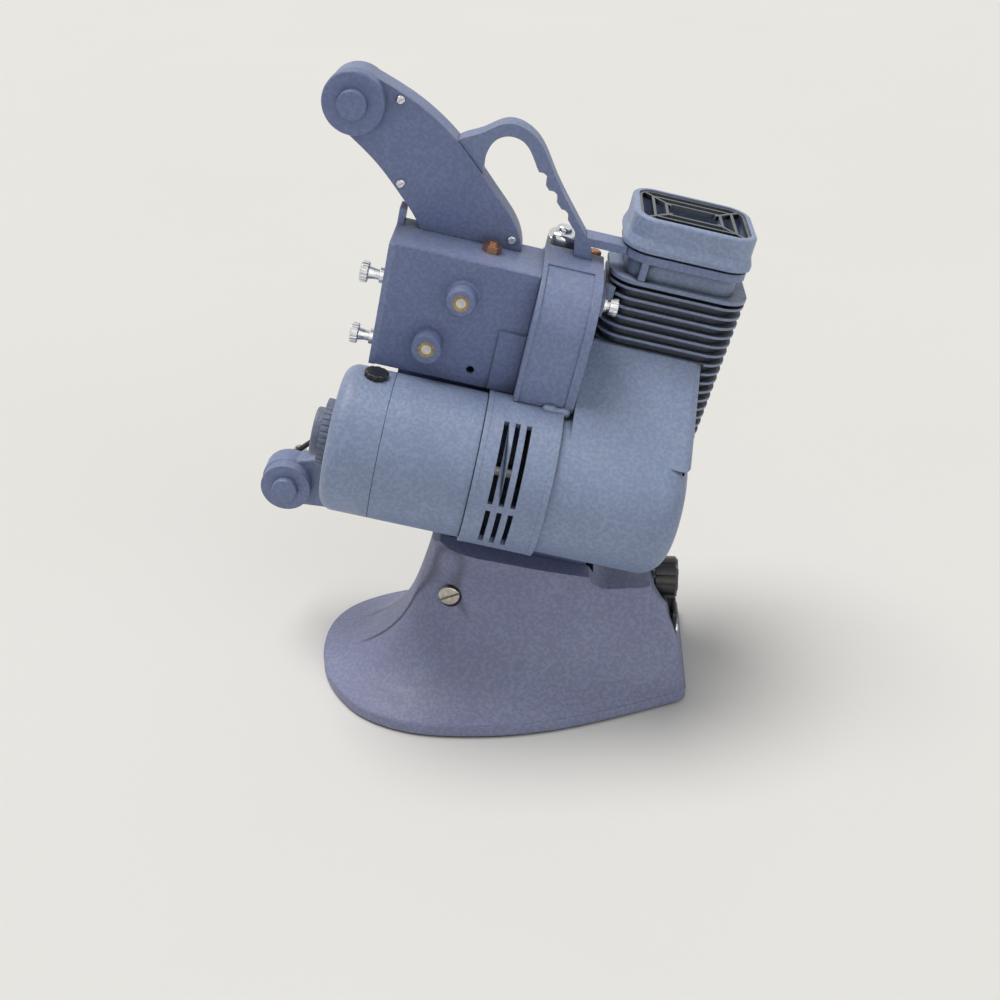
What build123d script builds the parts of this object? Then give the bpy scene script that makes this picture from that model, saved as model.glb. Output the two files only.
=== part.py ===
"""Eight-millimetre movie projector on a tilting flared base.

Millimetres, +Z up. The lens points along -X, the drive side faces -Y and the film side +Y.
The origin is the middle of the base's underside. The head leans back by TILT about the pivot
bolt, and every head piece is drawn in the head's own frame: u back along the motor, y across,
w up, measured from the pivot axis.
"""
import os
from math import acos, asin, atan2, cos, degrees, hypot, pi, radians, sin

from build123d import *

os.makedirs("parts", exist_ok=True)

# Running and assembly clearances
RUN = 0.05
GAP = 0.3
SEAT = 0.2

# Base, in the world frame
BASE_FRONT = 98.0
BASE_REAR = 100.0
BASE_HALF = 77.0
BASE_FAR_HALF = 46.0
NOSE_Y = -8.0
BASE_WIDE_X = -27.0
BASE_REAR_HALF = 43.0
PAD_T = 1.5
PLATE_T = 1.5
FLANGE_T = 6.0
BASE_WALL = 5.0
DECK_Z = 61.0
DECK_X = 47.0
NECK_HALF = 28.5
NECK_FRONT = 41.0
NECK_REAR = BASE_REAR - 22.0
NECK_W = 28.0

KNOB_X = BASE_REAR - 18.0
KNOB_Z = 52.0
KNOB_R = 11.5
INLET_X = BASE_REAR - 8.0
SWITCH_X = 6.0
SPEED_X = 34.0
SWITCH_Z = 46.0
LEVER_Y = 35.2

# Pivot and tilt of the head
TILT = 12.0
PIVOT_X = -26.0
PIVOT_Z = 55.0
PIVOT_R = 4.0
PIVOT_HEAD_R = PIVOT_R + 1.6
LUG_HALF = 16.0
LUG_R = 12.0
LUG_REAR = 66.0
LUG_REAR_W = 24.5
QUADRANT_R = 64.0
ROD_R = 4.0

# Gear case, in the head frame
CASE_FRONT = -60.5
CASE_NEAR = -12.0
CASE_FAR = 26.0
CASE_FLOOR = 113.0
CASE_WALL = 3.0
POCKET_NEAR = 5.0
POCKET_FLOOR = 95.0
COVER_T = 2.5
FRONT_T = 3.0
SHOULDER_U = 8.0
SHOULDER_BACK = 37.0
SHOULDER_NEAR = -26.0
SHOULDER_TOP = 178.0
SHOULDER_R = 25.0
SHOULDER_BEAD = 2.2
SHOULDER_SINK = 0.8
WEB_NEAR = 12.0
WEB_FRONT = -50.0
WEB_REAR = 56.0

# Motor, vent band and blower, coaxial along u
MOTOR_Y = -28.0
MOTOR_W = 79.5
MOTOR_R = 36.0
MOTOR_FRONT = -73.0
MOTOR_SEAM = -48.5
MOTOR_REAR = -3.5
MOTOR_WALL = 2.5
BAND_R = 37.5
BAND_REAR = 33.0
BAND_WALL = 3.0
DRUM_R = 35.0
DRUM_REAR = 97.5
DRUM_WALL = 3.0
DRUM_EDGE = 13.0
SLOT_W = 2.4
SLOT_PITCH = 5.4
SLOT_U = 6.8
SLOT_TURNS = ((4.5, 68.0), (-37.0, -1.0))
SHAFT_R = 4.0
WHEEL_R = 17.0
WHEEL_NOSE_R = 12.0
BRUSH_U = -57.5
BRUSH_R = 5.8
STATOR_BORE = 19.0
MOTOR_PULLEY_R = SHAFT_R + 1.0
FAN_U = 44.0
FAN_R = 29.0
DUCT_FRONT = 37.5
DUCT_REAR = 97.0
DUCT_TOP_Y = -45.5
DUCT_TOP_W = 109.8
DUCT_TOP_Y_FAR = 10.0
DUCT_FLOOR = 84.0
DUCT_EDGE = 5.0

# Film side
BARREL_R = 9.5
OPTIC_Y = CASE_FAR + BARREL_R + 1.5
OPTIC_W = 138.5
GATE_U = -14.0
BARREL_FRONT = -66.0
COUNTER_W = 146.0
COUNTER_R = 13.5
BELT_U = 20.0
GEAR_TEETH = 29
GEAR_R = 14.5
GEAR_Y = 8.5
GEAR_T = 5.0
COVER_BOSS_R = 7.0
COVER_BOSS_H = 9.0
FRONT_SCREWS = ((-4.0, 155.6), (-4.0, 123.7))
HOUSE_SCREW = (0.0, 164.0)
ARBOR_R = 2.5
BUSH_R = ARBOR_R + 1.4
SPROCKET_R = 7.3
UPPER_AXIS = (-25.7, OPTIC_W + BARREL_R + SPROCKET_R + 2.1)
gear_rise = UPPER_AXIS[1] - OPTIC_W + 7.6
MIDDLE_AXIS = (UPPER_AXIS[0] - (11.5 ** 2 + 26.5 ** 2 - gear_rise ** 2) ** 0.5, OPTIC_W - 7.6)
LOWER_AXIS = (MIDDLE_AXIS[0] + 24.2, MIDDLE_AXIS[1] - 15.9)
CASE_TOP = UPPER_AXIS[1] + GEAR_R + 3.1
SPROCKET_TEETH = 12
BOSS_TIP_Y = -20.8
FILM_NEAR = OPTIC_Y - 4.5
FILM_FAR = OPTIC_Y + 4.5
CLAW_Y = OPTIC_Y - 3.7
HOLDER_FRONT = -54.0
HOLDER_REAR = -35.0
BARREL_REAR = -21.5
UPPER_GUARD = (UPPER_AXIS[0] - 12.45, UPPER_AXIS[1] + 2.0)
LOWER_GUARD = (LOWER_AXIS[0] + 11.75, LOWER_AXIS[1] - 4.3)
SHUTTER_Y = CASE_FAR - CASE_WALL - 3.0
COUNTER_Y = SHUTTER_Y - 12.0
SHUTTER_U = 12.5
SHUTTER_R = 20.5

# Lamphouse
HOUSE_FRONT = 41.0
HOUSE_REAR = 107.0
HOUSE_NEAR = 10.0
HOUSE_FAR = 62.0
HOUSE_CORNER = 13.0
HOUSE_FLOOR = 85.0
COLLAR_W = 175.5
FIN_COUNT = 18
FIN_PITCH = 5.05
FIN_T = 1.3
FIN_DEPTH = 3.5
FIN_FLARE = 2.4
HOUSE_WALL = 2.0
HOUSE_WALL_Y = HOUSE_NEAR + FIN_DEPTH
NECK_INSET = 3.0
CAP_WALL = 3.0
GRILLE_STEP = 6.3
LAMP_U = 74.0
SOCKET_FLOOR = 58.0
CONDENSER_R = OPTIC_Y - CASE_FAR - SEAT
CONDENSER_FRONT = 18.0
PANEL_TOP = 141.0
NECK_TOP_W = 190.0
CAP_TOP = 206.0
CAP_FRONT = 45.0
CAP_REAR = 105.0
CAP_NEAR = 11.0
CAP_FAR = 61.0
CAP_CORNER = 12.0
GRILLE_BAR = 1.4

# Reel arms
ARM_NEAR = 15.0
ARM_FAR = 30.0
ARM_COVER_T = 2.0
ARM_WALL = 2.5
SUPPLY_AXIS = (-91.7, 227.3)
TAKEUP_AXIS = (-97.0, 20.0)
ARM_END_R = 14.0
BOSS_R = 14.4
BOSS_NEAR = 8.0
BOSS_CAP_R = 6.8
BOSS_CAP_NEAR = 4.0
REEL_PIN_R = 3.9
REEL_PIN_L = 17.0
BELT_R = 1.5
ARM_BELT_Y = 20.6
TAKEUP_BELT_Y = CASE_FAR + 3.0
SPINDLE_PULLEY_R = 7.0
LOWER_ARM_FAR = 26.0
LOWER_END_R = 14.0
ARM_SCREWS = ((-71.5, 232.2), (-65.0, 194.6), (-8.6, 179.8))

# Carrying handle
HANDLE_NEAR = 17.0
HANDLE_FAR = 29.0
HANDLE_BAR = 6.0
STRAP_W = 188.5
STRAP_H = 4.0
STRAP_T = 3.0

# Planes of the head's own frame
lean = radians(TILT)
HEAD = Plane(origin=(PIVOT_X, 0, PIVOT_Z), x_dir=(cos(lean), 0, -sin(lean)), z_dir=(sin(lean), 0, cos(lean)))


def side(y, u=0.0, w=0.0):
    """Plane with local axes u and w, seen from the drive side; it extrudes towards -Y."""
    return Plane(origin=HEAD.from_local_coords((u, y, w)), x_dir=HEAD.x_dir, z_dir=-HEAD.y_dir)


def across(u, y=0.0, w=0.0):
    """Plane with local axes y and w; it extrudes backwards along u."""
    return Plane(origin=HEAD.from_local_coords((u, y, w)), x_dir=HEAD.y_dir, z_dir=HEAD.x_dir)


def level(w, u=0.0, y=0.0):
    """Plane with local axes u and y; it extrudes up along w."""
    return Plane(origin=HEAD.from_local_coords((u, y, w)), x_dir=HEAD.x_dir, z_dir=HEAD.z_dir)


def turned(angle):
    """Plane through the motor axis; local axes u and radius, the radius turned up from -y by the angle."""
    turn = radians(angle)
    outward = HEAD.y_dir * -cos(turn) + HEAD.z_dir * sin(turn)
    return Plane(origin=HEAD.from_local_coords((0, MOTOR_Y, MOTOR_W)), x_dir=HEAD.x_dir,
                 z_dir=HEAD.x_dir.cross(outward))


def head_axis(u, y, w, direction):
    """Axis through a head point, along the head's "u", "y" or "w" direction."""
    along = {"u": HEAD.x_dir, "y": HEAD.y_dir, "w": HEAD.z_dir}[direction]
    return Axis(HEAD.from_local_coords((u, y, w)), along)


def rounded_box(front, rear, near, far, corner):
    """Rounded rectangle sketch between two u values and two y values."""
    with Locations(((front + rear) / 2, (near + far) / 2)):
        RectangleRounded(rear - front, far - near, corner)


def block(x0, x1, y0, y1, corner=0.0, mode=Mode.ADD):
    """Rectangle between four limits, its corners rounded if asked."""
    with Locations(((x0 + x1) / 2, (y0 + y1) / 2)):
        if corner:
            RectangleRounded(x1 - x0, y1 - y0, corner, mode=mode)
        else:
            Rectangle(x1 - x0, y1 - y0, mode=mode)


def belt_outline(start, start_r, end, end_r, mode=Mode.ADD):
    """Closed outline of a band stretched round two circles."""
    run = hypot(end[0] - start[0], end[1] - start[1])
    course = atan2(end[1] - start[1], end[0] - start[0])
    spread = acos((start_r - end_r) / run)

    def on(centre, radius, angle):
        return (centre[0] + radius * cos(angle), centre[1] + radius * sin(angle))

    with BuildLine() as outline:
        first = Line(on(start, start_r, course - spread), on(end, end_r, course - spread))
        far = ThreePointArc(first @ 1, on(end, end_r, course), on(end, end_r, course + spread))
        back = Line(far @ 1, on(start, start_r, course + spread))
        ThreePointArc(back @ 1, on(start, start_r, course + pi), first @ 0)
    make_face(outline.edges(), mode=mode)


def gear_outline(teeth, radius, phase):
    """Spur gear of module one with easy flanks; one tooth points at the phase angle."""
    Circle(radius - 1.25)
    with PolarLocations(radius - 0.25, teeth, start_angle=phase):
        Trapezoid(2.0, 2.1, 73, rotation=-90)


def bearing(from_axis, to_axis):
    """Angle in degrees from one axis to another in the u-w plane."""
    return degrees(atan2(to_axis[1] - from_axis[1], to_axis[0] - from_axis[0]))


# Base casting: flange, lofted cove and neck, trough for the head, hollow underside
def base_outline(front, wide_x, half, far_half, rear, rear_half, square=2.1, mode=Mode.ADD):
    """Egg-shaped outline, fuller on the drive side, with a straight rear edge; a larger square fills the front."""
    reach = 0.5 ** (1 / square)
    corner = 0.14 * rear_half
    length = front + wide_x
    with BuildLine() as outline:
        for turn, width in ((-1, half), (1, far_half)):
            flank = Spline(
                (-front, NOSE_Y), (wide_x - reach * length, (1 - reach) * NOSE_Y + turn * reach * width),
                (wide_x, turn * width), (rear - corner, turn * rear_half),
                tangents=[(0, turn), (length, turn * width), (1, 0),
                          (rear - wide_x, -1.7 * turn * (width - rear_half))],
            )
            TangentArc(flank @ 1, (rear, turn * (rear_half - corner)), tangent=flank % 1)
        Line((rear, corner - rear_half), (rear, rear_half - corner))
    make_face(outline.edges(), mode=mode)


bottom_z = PAD_T
flange_z = PAD_T + FLANGE_T
spread = (BASE_HALF - NECK_HALF) / 48.5  # 1 for this base; cove and hollow keep their shape when it's wider
cove = (
    (flange_z, BASE_FRONT - 1.5, BASE_WIDE_X, BASE_HALF - 1.5, BASE_FAR_HALF - 1.5, BASE_REAR - 0.5,
     BASE_REAR_HALF - 0.5, 2.1),
    (flange_z + 5, BASE_FRONT - 20, BASE_WIDE_X + 2, BASE_HALF - 15 * spread, BASE_FAR_HALF - 9, BASE_REAR - 3,
     BASE_REAR_HALF - 7, 2.1),
    (flange_z + 16, BASE_FRONT - 37, BASE_WIDE_X + 10, BASE_HALF - 30 * spread, BASE_FAR_HALF - 15, BASE_REAR - 5,
     BASE_REAR_HALF - 14, 2.3),
    (flange_z + 34, NECK_FRONT + 8, 0, NECK_HALF + 5, NECK_HALF + 2, NECK_REAR + 11, NECK_HALF - 3, 2.8),
    (flange_z + 54, NECK_FRONT + 0.5, 8, NECK_HALF + 1, NECK_HALF + 0.5, NECK_REAR, NECK_HALF - 5, 3.2),
    (flange_z + 80, NECK_FRONT - 6, 12, NECK_HALF, NECK_HALF, NECK_REAR - 4, NECK_HALF - 5, 3.4),
)
hollow = (
    (bottom_z, BASE_FRONT - 8, BASE_WIDE_X, BASE_HALF - 8, BASE_FAR_HALF - 8, BASE_REAR - 7, BASE_REAR_HALF - 6, 2.1),
    (flange_z + 1, BASE_FRONT - 27, BASE_WIDE_X, BASE_HALF - 22 * spread, BASE_FAR_HALF - 16, BASE_REAR - 11,
     BASE_REAR_HALF - 14, 2.1),
    (flange_z + 12, BASE_FRONT - 45, BASE_WIDE_X + 12, BASE_HALF - 38 * spread, BASE_FAR_HALF - 22,
     BASE_REAR - 13, BASE_REAR_HALF - 21, 2.2),
    (flange_z + 21, BASE_FRONT - 56, BASE_WIDE_X + 16, BASE_HALF - 49 * spread, BASE_FAR_HALF - 26,
     BASE_REAR - 19, BASE_REAR_HALF - 25, 2.4),
)
screw_seat = NECK_HALF - 1.5
rod_tip = PIVOT_X + QUADRANT_R + GAP
neck_front_top = HEAD.from_local_coords((-11, 0, NECK_W))
neck_rear_top = HEAD.from_local_coords((68, 0, NECK_W))
plate_inset = BASE_WALL

with BuildPart() as base_casting:
    with BuildSketch(Plane.XY.offset(bottom_z)):
        base_outline(BASE_FRONT, BASE_WIDE_X, BASE_HALF, BASE_FAR_HALF, BASE_REAR, BASE_REAR_HALF)
    extrude(amount=FLANGE_T)
    for height, *sizes in cove:
        with BuildSketch(Plane.XY.offset(height)):
            base_outline(*sizes)
    loft()
    with BuildSketch(Plane.XZ):
        with BuildLine():
            crown = ThreePointArc((-NECK_FRONT - 3, 62), (-NECK_FRONT + 2, 77), (neck_front_top.X, neck_front_top.Z))
            rim = Line(crown @ 1, (neck_rear_top.X, neck_rear_top.Z))
            sweep_down = ThreePointArc(rim @ 1, (DECK_X + 2.5, DECK_Z + 2.5), (DECK_X + 9, DECK_Z))
            Polyline(sweep_down @ 1, (BASE_REAR + 20, DECK_Z), (BASE_REAR + 20, 0), (-BASE_FRONT - 20, 0),
                     (-BASE_FRONT - 20, 40), crown @ 0)
        make_face()
    extrude(amount=BASE_HALF + 20, both=True, mode=Mode.INTERSECT)
    # Trough that takes the head's lug, open upwards
    with BuildSketch(side(LUG_HALF + GAP)):
        with BuildLine():
            floor = ThreePointArc((-LUG_R - 1, 0), (-0.6 * LUG_R, -0.8 * LUG_R - 1), (4, -LUG_R - 1))
            Polyline(floor @ 1, (LUG_REAR + 5, LUG_REAR_W - 12), (LUG_REAR + 5, 60), (-6.5, 60), (-6.5, NECK_W),
                     floor @ 0)
        make_face()
    extrude(amount=2 * (LUG_HALF + GAP), mode=Mode.SUBTRACT)
    # Hollow underside and the rebate for the bottom plate
    for height, *sizes in hollow:
        with BuildSketch(Plane.XY.offset(height)):
            base_outline(*sizes)
    loft(mode=Mode.SUBTRACT)
    with BuildSketch(Plane.XY.offset(bottom_z)):
        base_outline(BASE_FRONT - plate_inset, BASE_WIDE_X, BASE_HALF - plate_inset, BASE_FAR_HALF - plate_inset,
                     BASE_REAR - plate_inset, BASE_REAR_HALF - plate_inset)
    extrude(amount=PLATE_T, mode=Mode.SUBTRACT)
    # Pivot bore through both walls, with a counterbore on each side
    with BuildSketch(side(BASE_HALF)):
        Circle(PIVOT_R + RUN)
    extrude(amount=2 * BASE_HALF, mode=Mode.SUBTRACT)
    with BuildSketch(side(-screw_seat)):
        Circle(PIVOT_HEAD_R + 1)
    extrude(amount=BASE_HALF, mode=Mode.SUBTRACT)
    with BuildSketch(side(screw_seat)):
        Circle(PIVOT_HEAD_R + 1)
    extrude(amount=-BASE_HALF, mode=Mode.SUBTRACT)
    # Slot for the lug's quadrant, and the bore of the tilt rod
    with BuildSketch(side(4)):
        with BuildLine():
            Polyline((40, 16), (40, -12), (QUADRANT_R, -20), (QUADRANT_R + 3, -16), (QUADRANT_R + 3, 20), (40, 16))
        make_face()
    extrude(amount=8, mode=Mode.SUBTRACT)
    with BuildSketch(Plane.YZ.offset(rod_tip)):
        with Locations((0, KNOB_Z)):
            Circle(ROD_R + RUN)
    extrude(amount=BASE_REAR, mode=Mode.SUBTRACT)
    # Flat rear seat of the tilt knob, and the inlet's recess
    with BuildSketch(Plane.YZ.offset(KNOB_X - 1)):
        with Locations((0, KNOB_Z)):
            Circle(KNOB_R + 2)
    extrude(amount=BASE_REAR, mode=Mode.SUBTRACT)
    with BuildSketch(Plane.YZ.offset(INLET_X)):
        block(-17, 17, 16, 40, corner=2)
    extrude(amount=BASE_REAR, mode=Mode.SUBTRACT)
    with BuildSketch(Plane.YZ.offset(INLET_X - 14)):
        block(-11, 11, 20, 36, corner=2)
    extrude(amount=20, mode=Mode.SUBTRACT)
    # Switch bushings' bores in the film-side wall
    for x in (SWITCH_X, SPEED_X):
        with BuildSketch(Plane.XZ.offset(-screw_seat)):
            with Locations((x, SWITCH_Z)):
                Circle(10)
        extrude(amount=-30, mode=Mode.SUBTRACT)
        with BuildSketch(Plane.XZ.offset(-LUG_HALF)):
            with Locations((x, SWITCH_Z)):
                Circle(3.5)
        extrude(amount=-20, mode=Mode.SUBTRACT)
base_casting.part.label = "base_casting"
export_step(base_casting.part, "parts/base_casting.step")

with BuildPart() as base_pad:
    with BuildSketch():
        base_outline(BASE_FRONT - 1, BASE_WIDE_X, BASE_HALF - 1, BASE_FAR_HALF - 1, BASE_REAR - 1, BASE_REAR_HALF - 1)
        with GridLocations(26, 9, 2, 5):
            SlotOverall(18, 3, mode=Mode.SUBTRACT)
    extrude(amount=PAD_T)
base_pad.part.label = "base_pad"
export_step(base_pad.part, "parts/base_pad.step")

with BuildPart() as base_bottom_plate:
    with BuildSketch(Plane.XY.offset(bottom_z)):
        base_outline(BASE_FRONT - plate_inset - SEAT, BASE_WIDE_X, BASE_HALF - plate_inset - SEAT,
                     BASE_FAR_HALF - plate_inset - SEAT, BASE_REAR - plate_inset - SEAT,
                     BASE_REAR_HALF - plate_inset - SEAT)
        with GridLocations(26, 9, 2, 5):
            SlotOverall(18, 3, mode=Mode.SUBTRACT)
    extrude(amount=PLATE_T)
base_bottom_plate.part.label = "base_bottom_plate"
export_step(base_bottom_plate.part, "parts/base_bottom_plate.step")

# Slotted pivot screw through the neck, with its nut face on the far side
with BuildPart() as tilt_pivot_screw:
    with BuildSketch(side(screw_seat + 4)):
        Circle(PIVOT_R)
    extrude(amount=2 * screw_seat + 4)
    with BuildSketch(side(-screw_seat)):
        Circle(PIVOT_HEAD_R)
    extrude(amount=3)
    fillet(faces().sort_by(Axis.Y)[0].edges(), 0.8)
    with BuildSketch(side(screw_seat + 3.2)):
        RegularPolygon(PIVOT_HEAD_R, 6)
    extrude(amount=3.2)
    with BuildSketch(side(-screw_seat - 1.8)):
        Rectangle(14, 1.3, rotation=35)
    extrude(amount=3, mode=Mode.SUBTRACT)
tilt_pivot_screw.part.label = "tilt_pivot_screw"
export_step(tilt_pivot_screw.part, "parts/tilt_pivot_screw.step")

with BuildPart() as tilt_rod:
    with BuildSketch(Plane.YZ.offset(rod_tip)):
        with Locations((0, KNOB_Z)):
            Circle(ROD_R)
    extrude(amount=KNOB_X + 8 - rod_tip)
    chamfer(faces().sort_by(Axis.X)[0].edges(), 0.6)
tilt_rod.part.label = "tilt_rod"
export_step(tilt_rod.part, "parts/tilt_rod.step")

with BuildPart() as tilt_knob:
    with BuildSketch(Plane.YZ.offset(KNOB_X)):
        with Locations((0, KNOB_Z)):
            Circle(KNOB_R)
            with PolarLocations(KNOB_R + 2.4, 7):
                Circle(4, mode=Mode.SUBTRACT)
    extrude(amount=12)
    chamfer(faces().sort_by(Axis.X)[-1].edges(), 1.4)
    with BuildSketch(Plane.YZ.offset(KNOB_X)):
        with Locations((0, KNOB_Z)):
            Circle(ROD_R + 0.01)
    extrude(amount=8, mode=Mode.SUBTRACT)
tilt_knob.part.label = "tilt_knob"
export_step(tilt_knob.part, "parts/tilt_knob.step")

# Power inlet: plate in its recess, well with two pins
with BuildPart() as power_inlet:
    with BuildSketch(Plane.YZ.offset(INLET_X)):
        block(-16.8, 16.8, 16.2, 39.8, corner=1.8)
    extrude(amount=2.2)
    with BuildSketch(Plane.YZ.offset(INLET_X)):
        block(-10.8, 10.8, 20.2, 35.8, corner=1.8)
    extrude(amount=-13)
    with BuildSketch(Plane.YZ.offset(INLET_X - 11)):
        block(-9, 9, 21.5, 34.5, corner=1.5)
        with Locations((-4, 28), (4, 28)):
            Circle(1.7, mode=Mode.SUBTRACT)
    extrude(amount=20, mode=Mode.SUBTRACT)
power_inlet.part.label = "power_inlet"
export_step(power_inlet.part, "parts/power_inlet.step")

with BuildPart() as inlet_screws:
    with BuildSketch(Plane.YZ.offset(INLET_X + 2.2)):
        with Locations((-13.6, 28), (13.6, 28)):
            Circle(2.4)
    extrude(amount=1.4)
    fillet(faces().group_by(Axis.X)[-1].edges(), 0.9)
inlet_screws.part.label = "inlet_screws"
export_step(inlet_screws.part, "parts/inlet_screws.step")

# Film-side controls: toggle switch and speed knob
with BuildPart() as motor_switch:
    with BuildSketch(Plane.XZ.offset(-LUG_HALF - 2)):
        with Locations((SWITCH_X, SWITCH_Z)):
            Circle(3.4)
    extrude(amount=LUG_HALF + 2 - screw_seat - 6)
    with BuildSketch(Plane.XZ.offset(-screw_seat - SEAT)):
        with Locations((SWITCH_X, SWITCH_Z)):
            RegularPolygon(6, 6)
    extrude(amount=-3)
motor_switch.part.label = "motor_switch"
export_step(motor_switch.part, "parts/motor_switch.step")

with BuildPart() as switch_lever:
    with Locations((SWITCH_X, LEVER_Y, SWITCH_Z)):
        Sphere(2)
        Cylinder(0.7, 5.4, rotation=(0, 90, 0))
    with BuildSketch(Plane.XZ.offset(-LEVER_Y)):
        with Locations((SWITCH_X, SWITCH_Z)):
            Circle(1.2)
    extrude(amount=-12, taper=-4)
    fillet(faces().sort_by(Axis.Y)[-1].edges(), 1)
switch_lever.part.label = "switch_lever"
export_step(switch_lever.part, "parts/switch_lever.step")

with BuildPart() as speed_knob:
    with BuildSketch(Plane.XZ.offset(-screw_seat - SEAT)):
        with Locations((SPEED_X, SWITCH_Z)):
            Circle(9)
            with PolarLocations(9.6, 12):
                Circle(1.1, mode=Mode.SUBTRACT)
    extrude(amount=-9)
    chamfer(faces().sort_by(Axis.Y)[-1].edges(), 0.6)
    with BuildSketch(Plane.XZ.offset(-LUG_HALF - 2)):
        with Locations((SPEED_X, SWITCH_Z)):
            Circle(3.4)
    extrude(amount=LUG_HALF + 2 - screw_seat - 1)
speed_knob.part.label = "speed_knob"
export_step(speed_knob.part, "parts/speed_knob.step")

# Main casting: gear case, shoulder, web and lug
interior_near = CASE_NEAR + COVER_T
interior_far = CASE_FAR - CASE_WALL
saddle_r = BAND_R + GAP
lug_foot = atan2(LUG_REAR_W, LUG_REAR) - acos(LUG_R / hypot(LUG_REAR, LUG_REAR_W))


def shoulder_outline(inset, bottom, mode=Mode.ADD):
    """Shoulder's section in y and w, its near upper corner a quarter round."""
    near = SHOULDER_NEAR + inset
    far = CASE_FAR - inset
    top = SHOULDER_TOP - inset
    radius = SHOULDER_R - inset
    with BuildLine() as outline:
        start = Polyline((near, top - radius), (near, bottom), (far, bottom), (far, top), (near + radius, top))
        TangentArc(start @ 1, start @ 0, tangent=(-1, 0))
    make_face(outline.edges(), mode=mode)


with BuildPart() as main_casting:
    with BuildSketch(side(CASE_FAR)):
        block(CASE_FRONT, SHOULDER_U, CASE_FLOOR, CASE_TOP)
    extrude(amount=CASE_FAR - interior_near)
    with BuildSketch(side(CASE_FAR)):
        block(LOWER_AXIS[0] - GEAR_R - 5, LOWER_AXIS[0] + GEAR_R + 4, POCKET_FLOOR, CASE_FLOOR)
    extrude(amount=CASE_FAR - POCKET_NEAR)
    with BuildSketch(across(SHOULDER_U)):
        shoulder_outline(0, CASE_FLOOR - 13)
    extrude(amount=SHOULDER_BACK - SHOULDER_U)
    with BuildSketch(side(CASE_FAR)):
        with BuildLine():
            Polyline((WEB_FRONT, CASE_FLOOR + 2), (WEB_FRONT, 36), (0, 32), (WEB_REAR, 36), (WEB_REAR, 78),
                     (SHOULDER_BACK, 82), (SHOULDER_BACK, CASE_FLOOR + 2), (WEB_FRONT, CASE_FLOOR + 2))
        make_face()
    extrude(amount=CASE_FAR - WEB_NEAR)
    with BuildSketch(side(LUG_HALF)):
        with BuildLine():
            front = ThreePointArc((-LUG_R, 0), (LUG_R * cos(lug_foot / 2 - pi / 2), LUG_R * sin(lug_foot / 2 - pi / 2)),
                                  (LUG_R * cos(lug_foot), LUG_R * sin(lug_foot)))
            Polyline(front @ 1, (LUG_REAR, LUG_REAR_W), (LUG_REAR, 62), (1, 62), (1, 30), front @ 0)
        make_face()
    extrude(amount=2 * LUG_HALF)
    with BuildSketch(side(3)):
        with BuildLine():
            tail = ThreePointArc((QUADRANT_R * cos(0.12), -QUADRANT_R * sin(0.12)),
                                 (QUADRANT_R * cos(0.1), QUADRANT_R * sin(0.1)),
                                 (QUADRANT_R * cos(0.42), QUADRANT_R * sin(0.42)))
            Polyline(tail @ 1, (44, 30), (44, -4), tail @ 0)
        make_face()
    extrude(amount=6)
    # Inside of the case, the gear pocket and the shoulder
    with BuildSketch(side(interior_far)):
        block(CASE_FRONT + CASE_WALL, SHOULDER_U, CASE_FLOOR + CASE_WALL, CASE_TOP - CASE_WALL)
    extrude(amount=interior_far - interior_near, mode=Mode.SUBTRACT)
    with BuildSketch(side(interior_far)):
        block(LOWER_AXIS[0] - GEAR_R - 2, LOWER_AXIS[0] + GEAR_R + 1.5, POCKET_FLOOR + CASE_WALL, CASE_FLOOR + 8)
    extrude(amount=interior_far - POCKET_NEAR - 2.5, mode=Mode.SUBTRACT)
    with BuildSketch(side(POCKET_NEAR + 2.5)):
        with Locations(LOWER_AXIS):
            Circle(5)
    extrude(amount=2.5)
    with BuildSketch(across(SHOULDER_U + CASE_WALL)):
        shoulder_outline(CASE_WALL, CASE_FLOOR - 10)
    extrude(amount=SHOULDER_BACK - SHOULDER_U - 2 * CASE_WALL, mode=Mode.SUBTRACT)
    # Sunk band between the shoulder's two edge beads
    with BuildSketch(across(SHOULDER_U + SHOULDER_BEAD)):
        shoulder_outline(0, CASE_FLOOR - 13)
        shoulder_outline(SHOULDER_SINK, CASE_FLOOR - 20, Mode.SUBTRACT)
        block(0, CASE_FAR + 1, CASE_FLOOR - 14, SHOULDER_TOP + 1, mode=Mode.SUBTRACT)
    extrude(amount=SHOULDER_BACK - SHOULDER_U - 3 * SHOULDER_BEAD, mode=Mode.SUBTRACT)
    # Cradle and saddle for the motor, the band and the blower
    with BuildSketch(across(WEB_FRONT - 20, MOTOR_Y, MOTOR_W)):
        Circle(saddle_r)
    extrude(amount=200, mode=Mode.SUBTRACT)
    with BuildSketch(across(BELT_U - 4)):
        block(SHOULDER_NEAR + CASE_WALL, COUNTER_Y, CASE_FLOOR - 17, CASE_FLOOR - 5)
    extrude(amount=8, mode=Mode.SUBTRACT)
    # Relief for the gears in the case's floor and ceiling
    with BuildSketch(side(GEAR_Y + GEAR_T + 1.5)):
        with Locations(UPPER_AXIS, MIDDLE_AXIS):
            Circle(GEAR_R + 1.8)
    extrude(amount=GEAR_T + 3, mode=Mode.SUBTRACT)
    # Bearing bosses of the shutter shaft and the countershaft
    with BuildSketch(across(CASE_FRONT + CASE_WALL, SHUTTER_Y, OPTIC_W)):
        Circle(4.5)
    extrude(amount=6)
    with BuildSketch(across(23, COUNTER_Y, COUNTER_W)):
        Circle(6)
    extrude(amount=SHOULDER_BACK - CASE_WALL - 23)
    with BuildSketch(across(CASE_FRONT + 2, SHUTTER_Y, OPTIC_W)):
        Circle(2 + RUN)
    extrude(amount=BELT_U - CASE_FRONT, mode=Mode.SUBTRACT)
    with BuildSketch(across(14, COUNTER_Y, COUNTER_W)):
        Circle(ARBOR_R + RUN)
    extrude(amount=SHOULDER_BACK - 16, mode=Mode.SUBTRACT)
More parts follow.
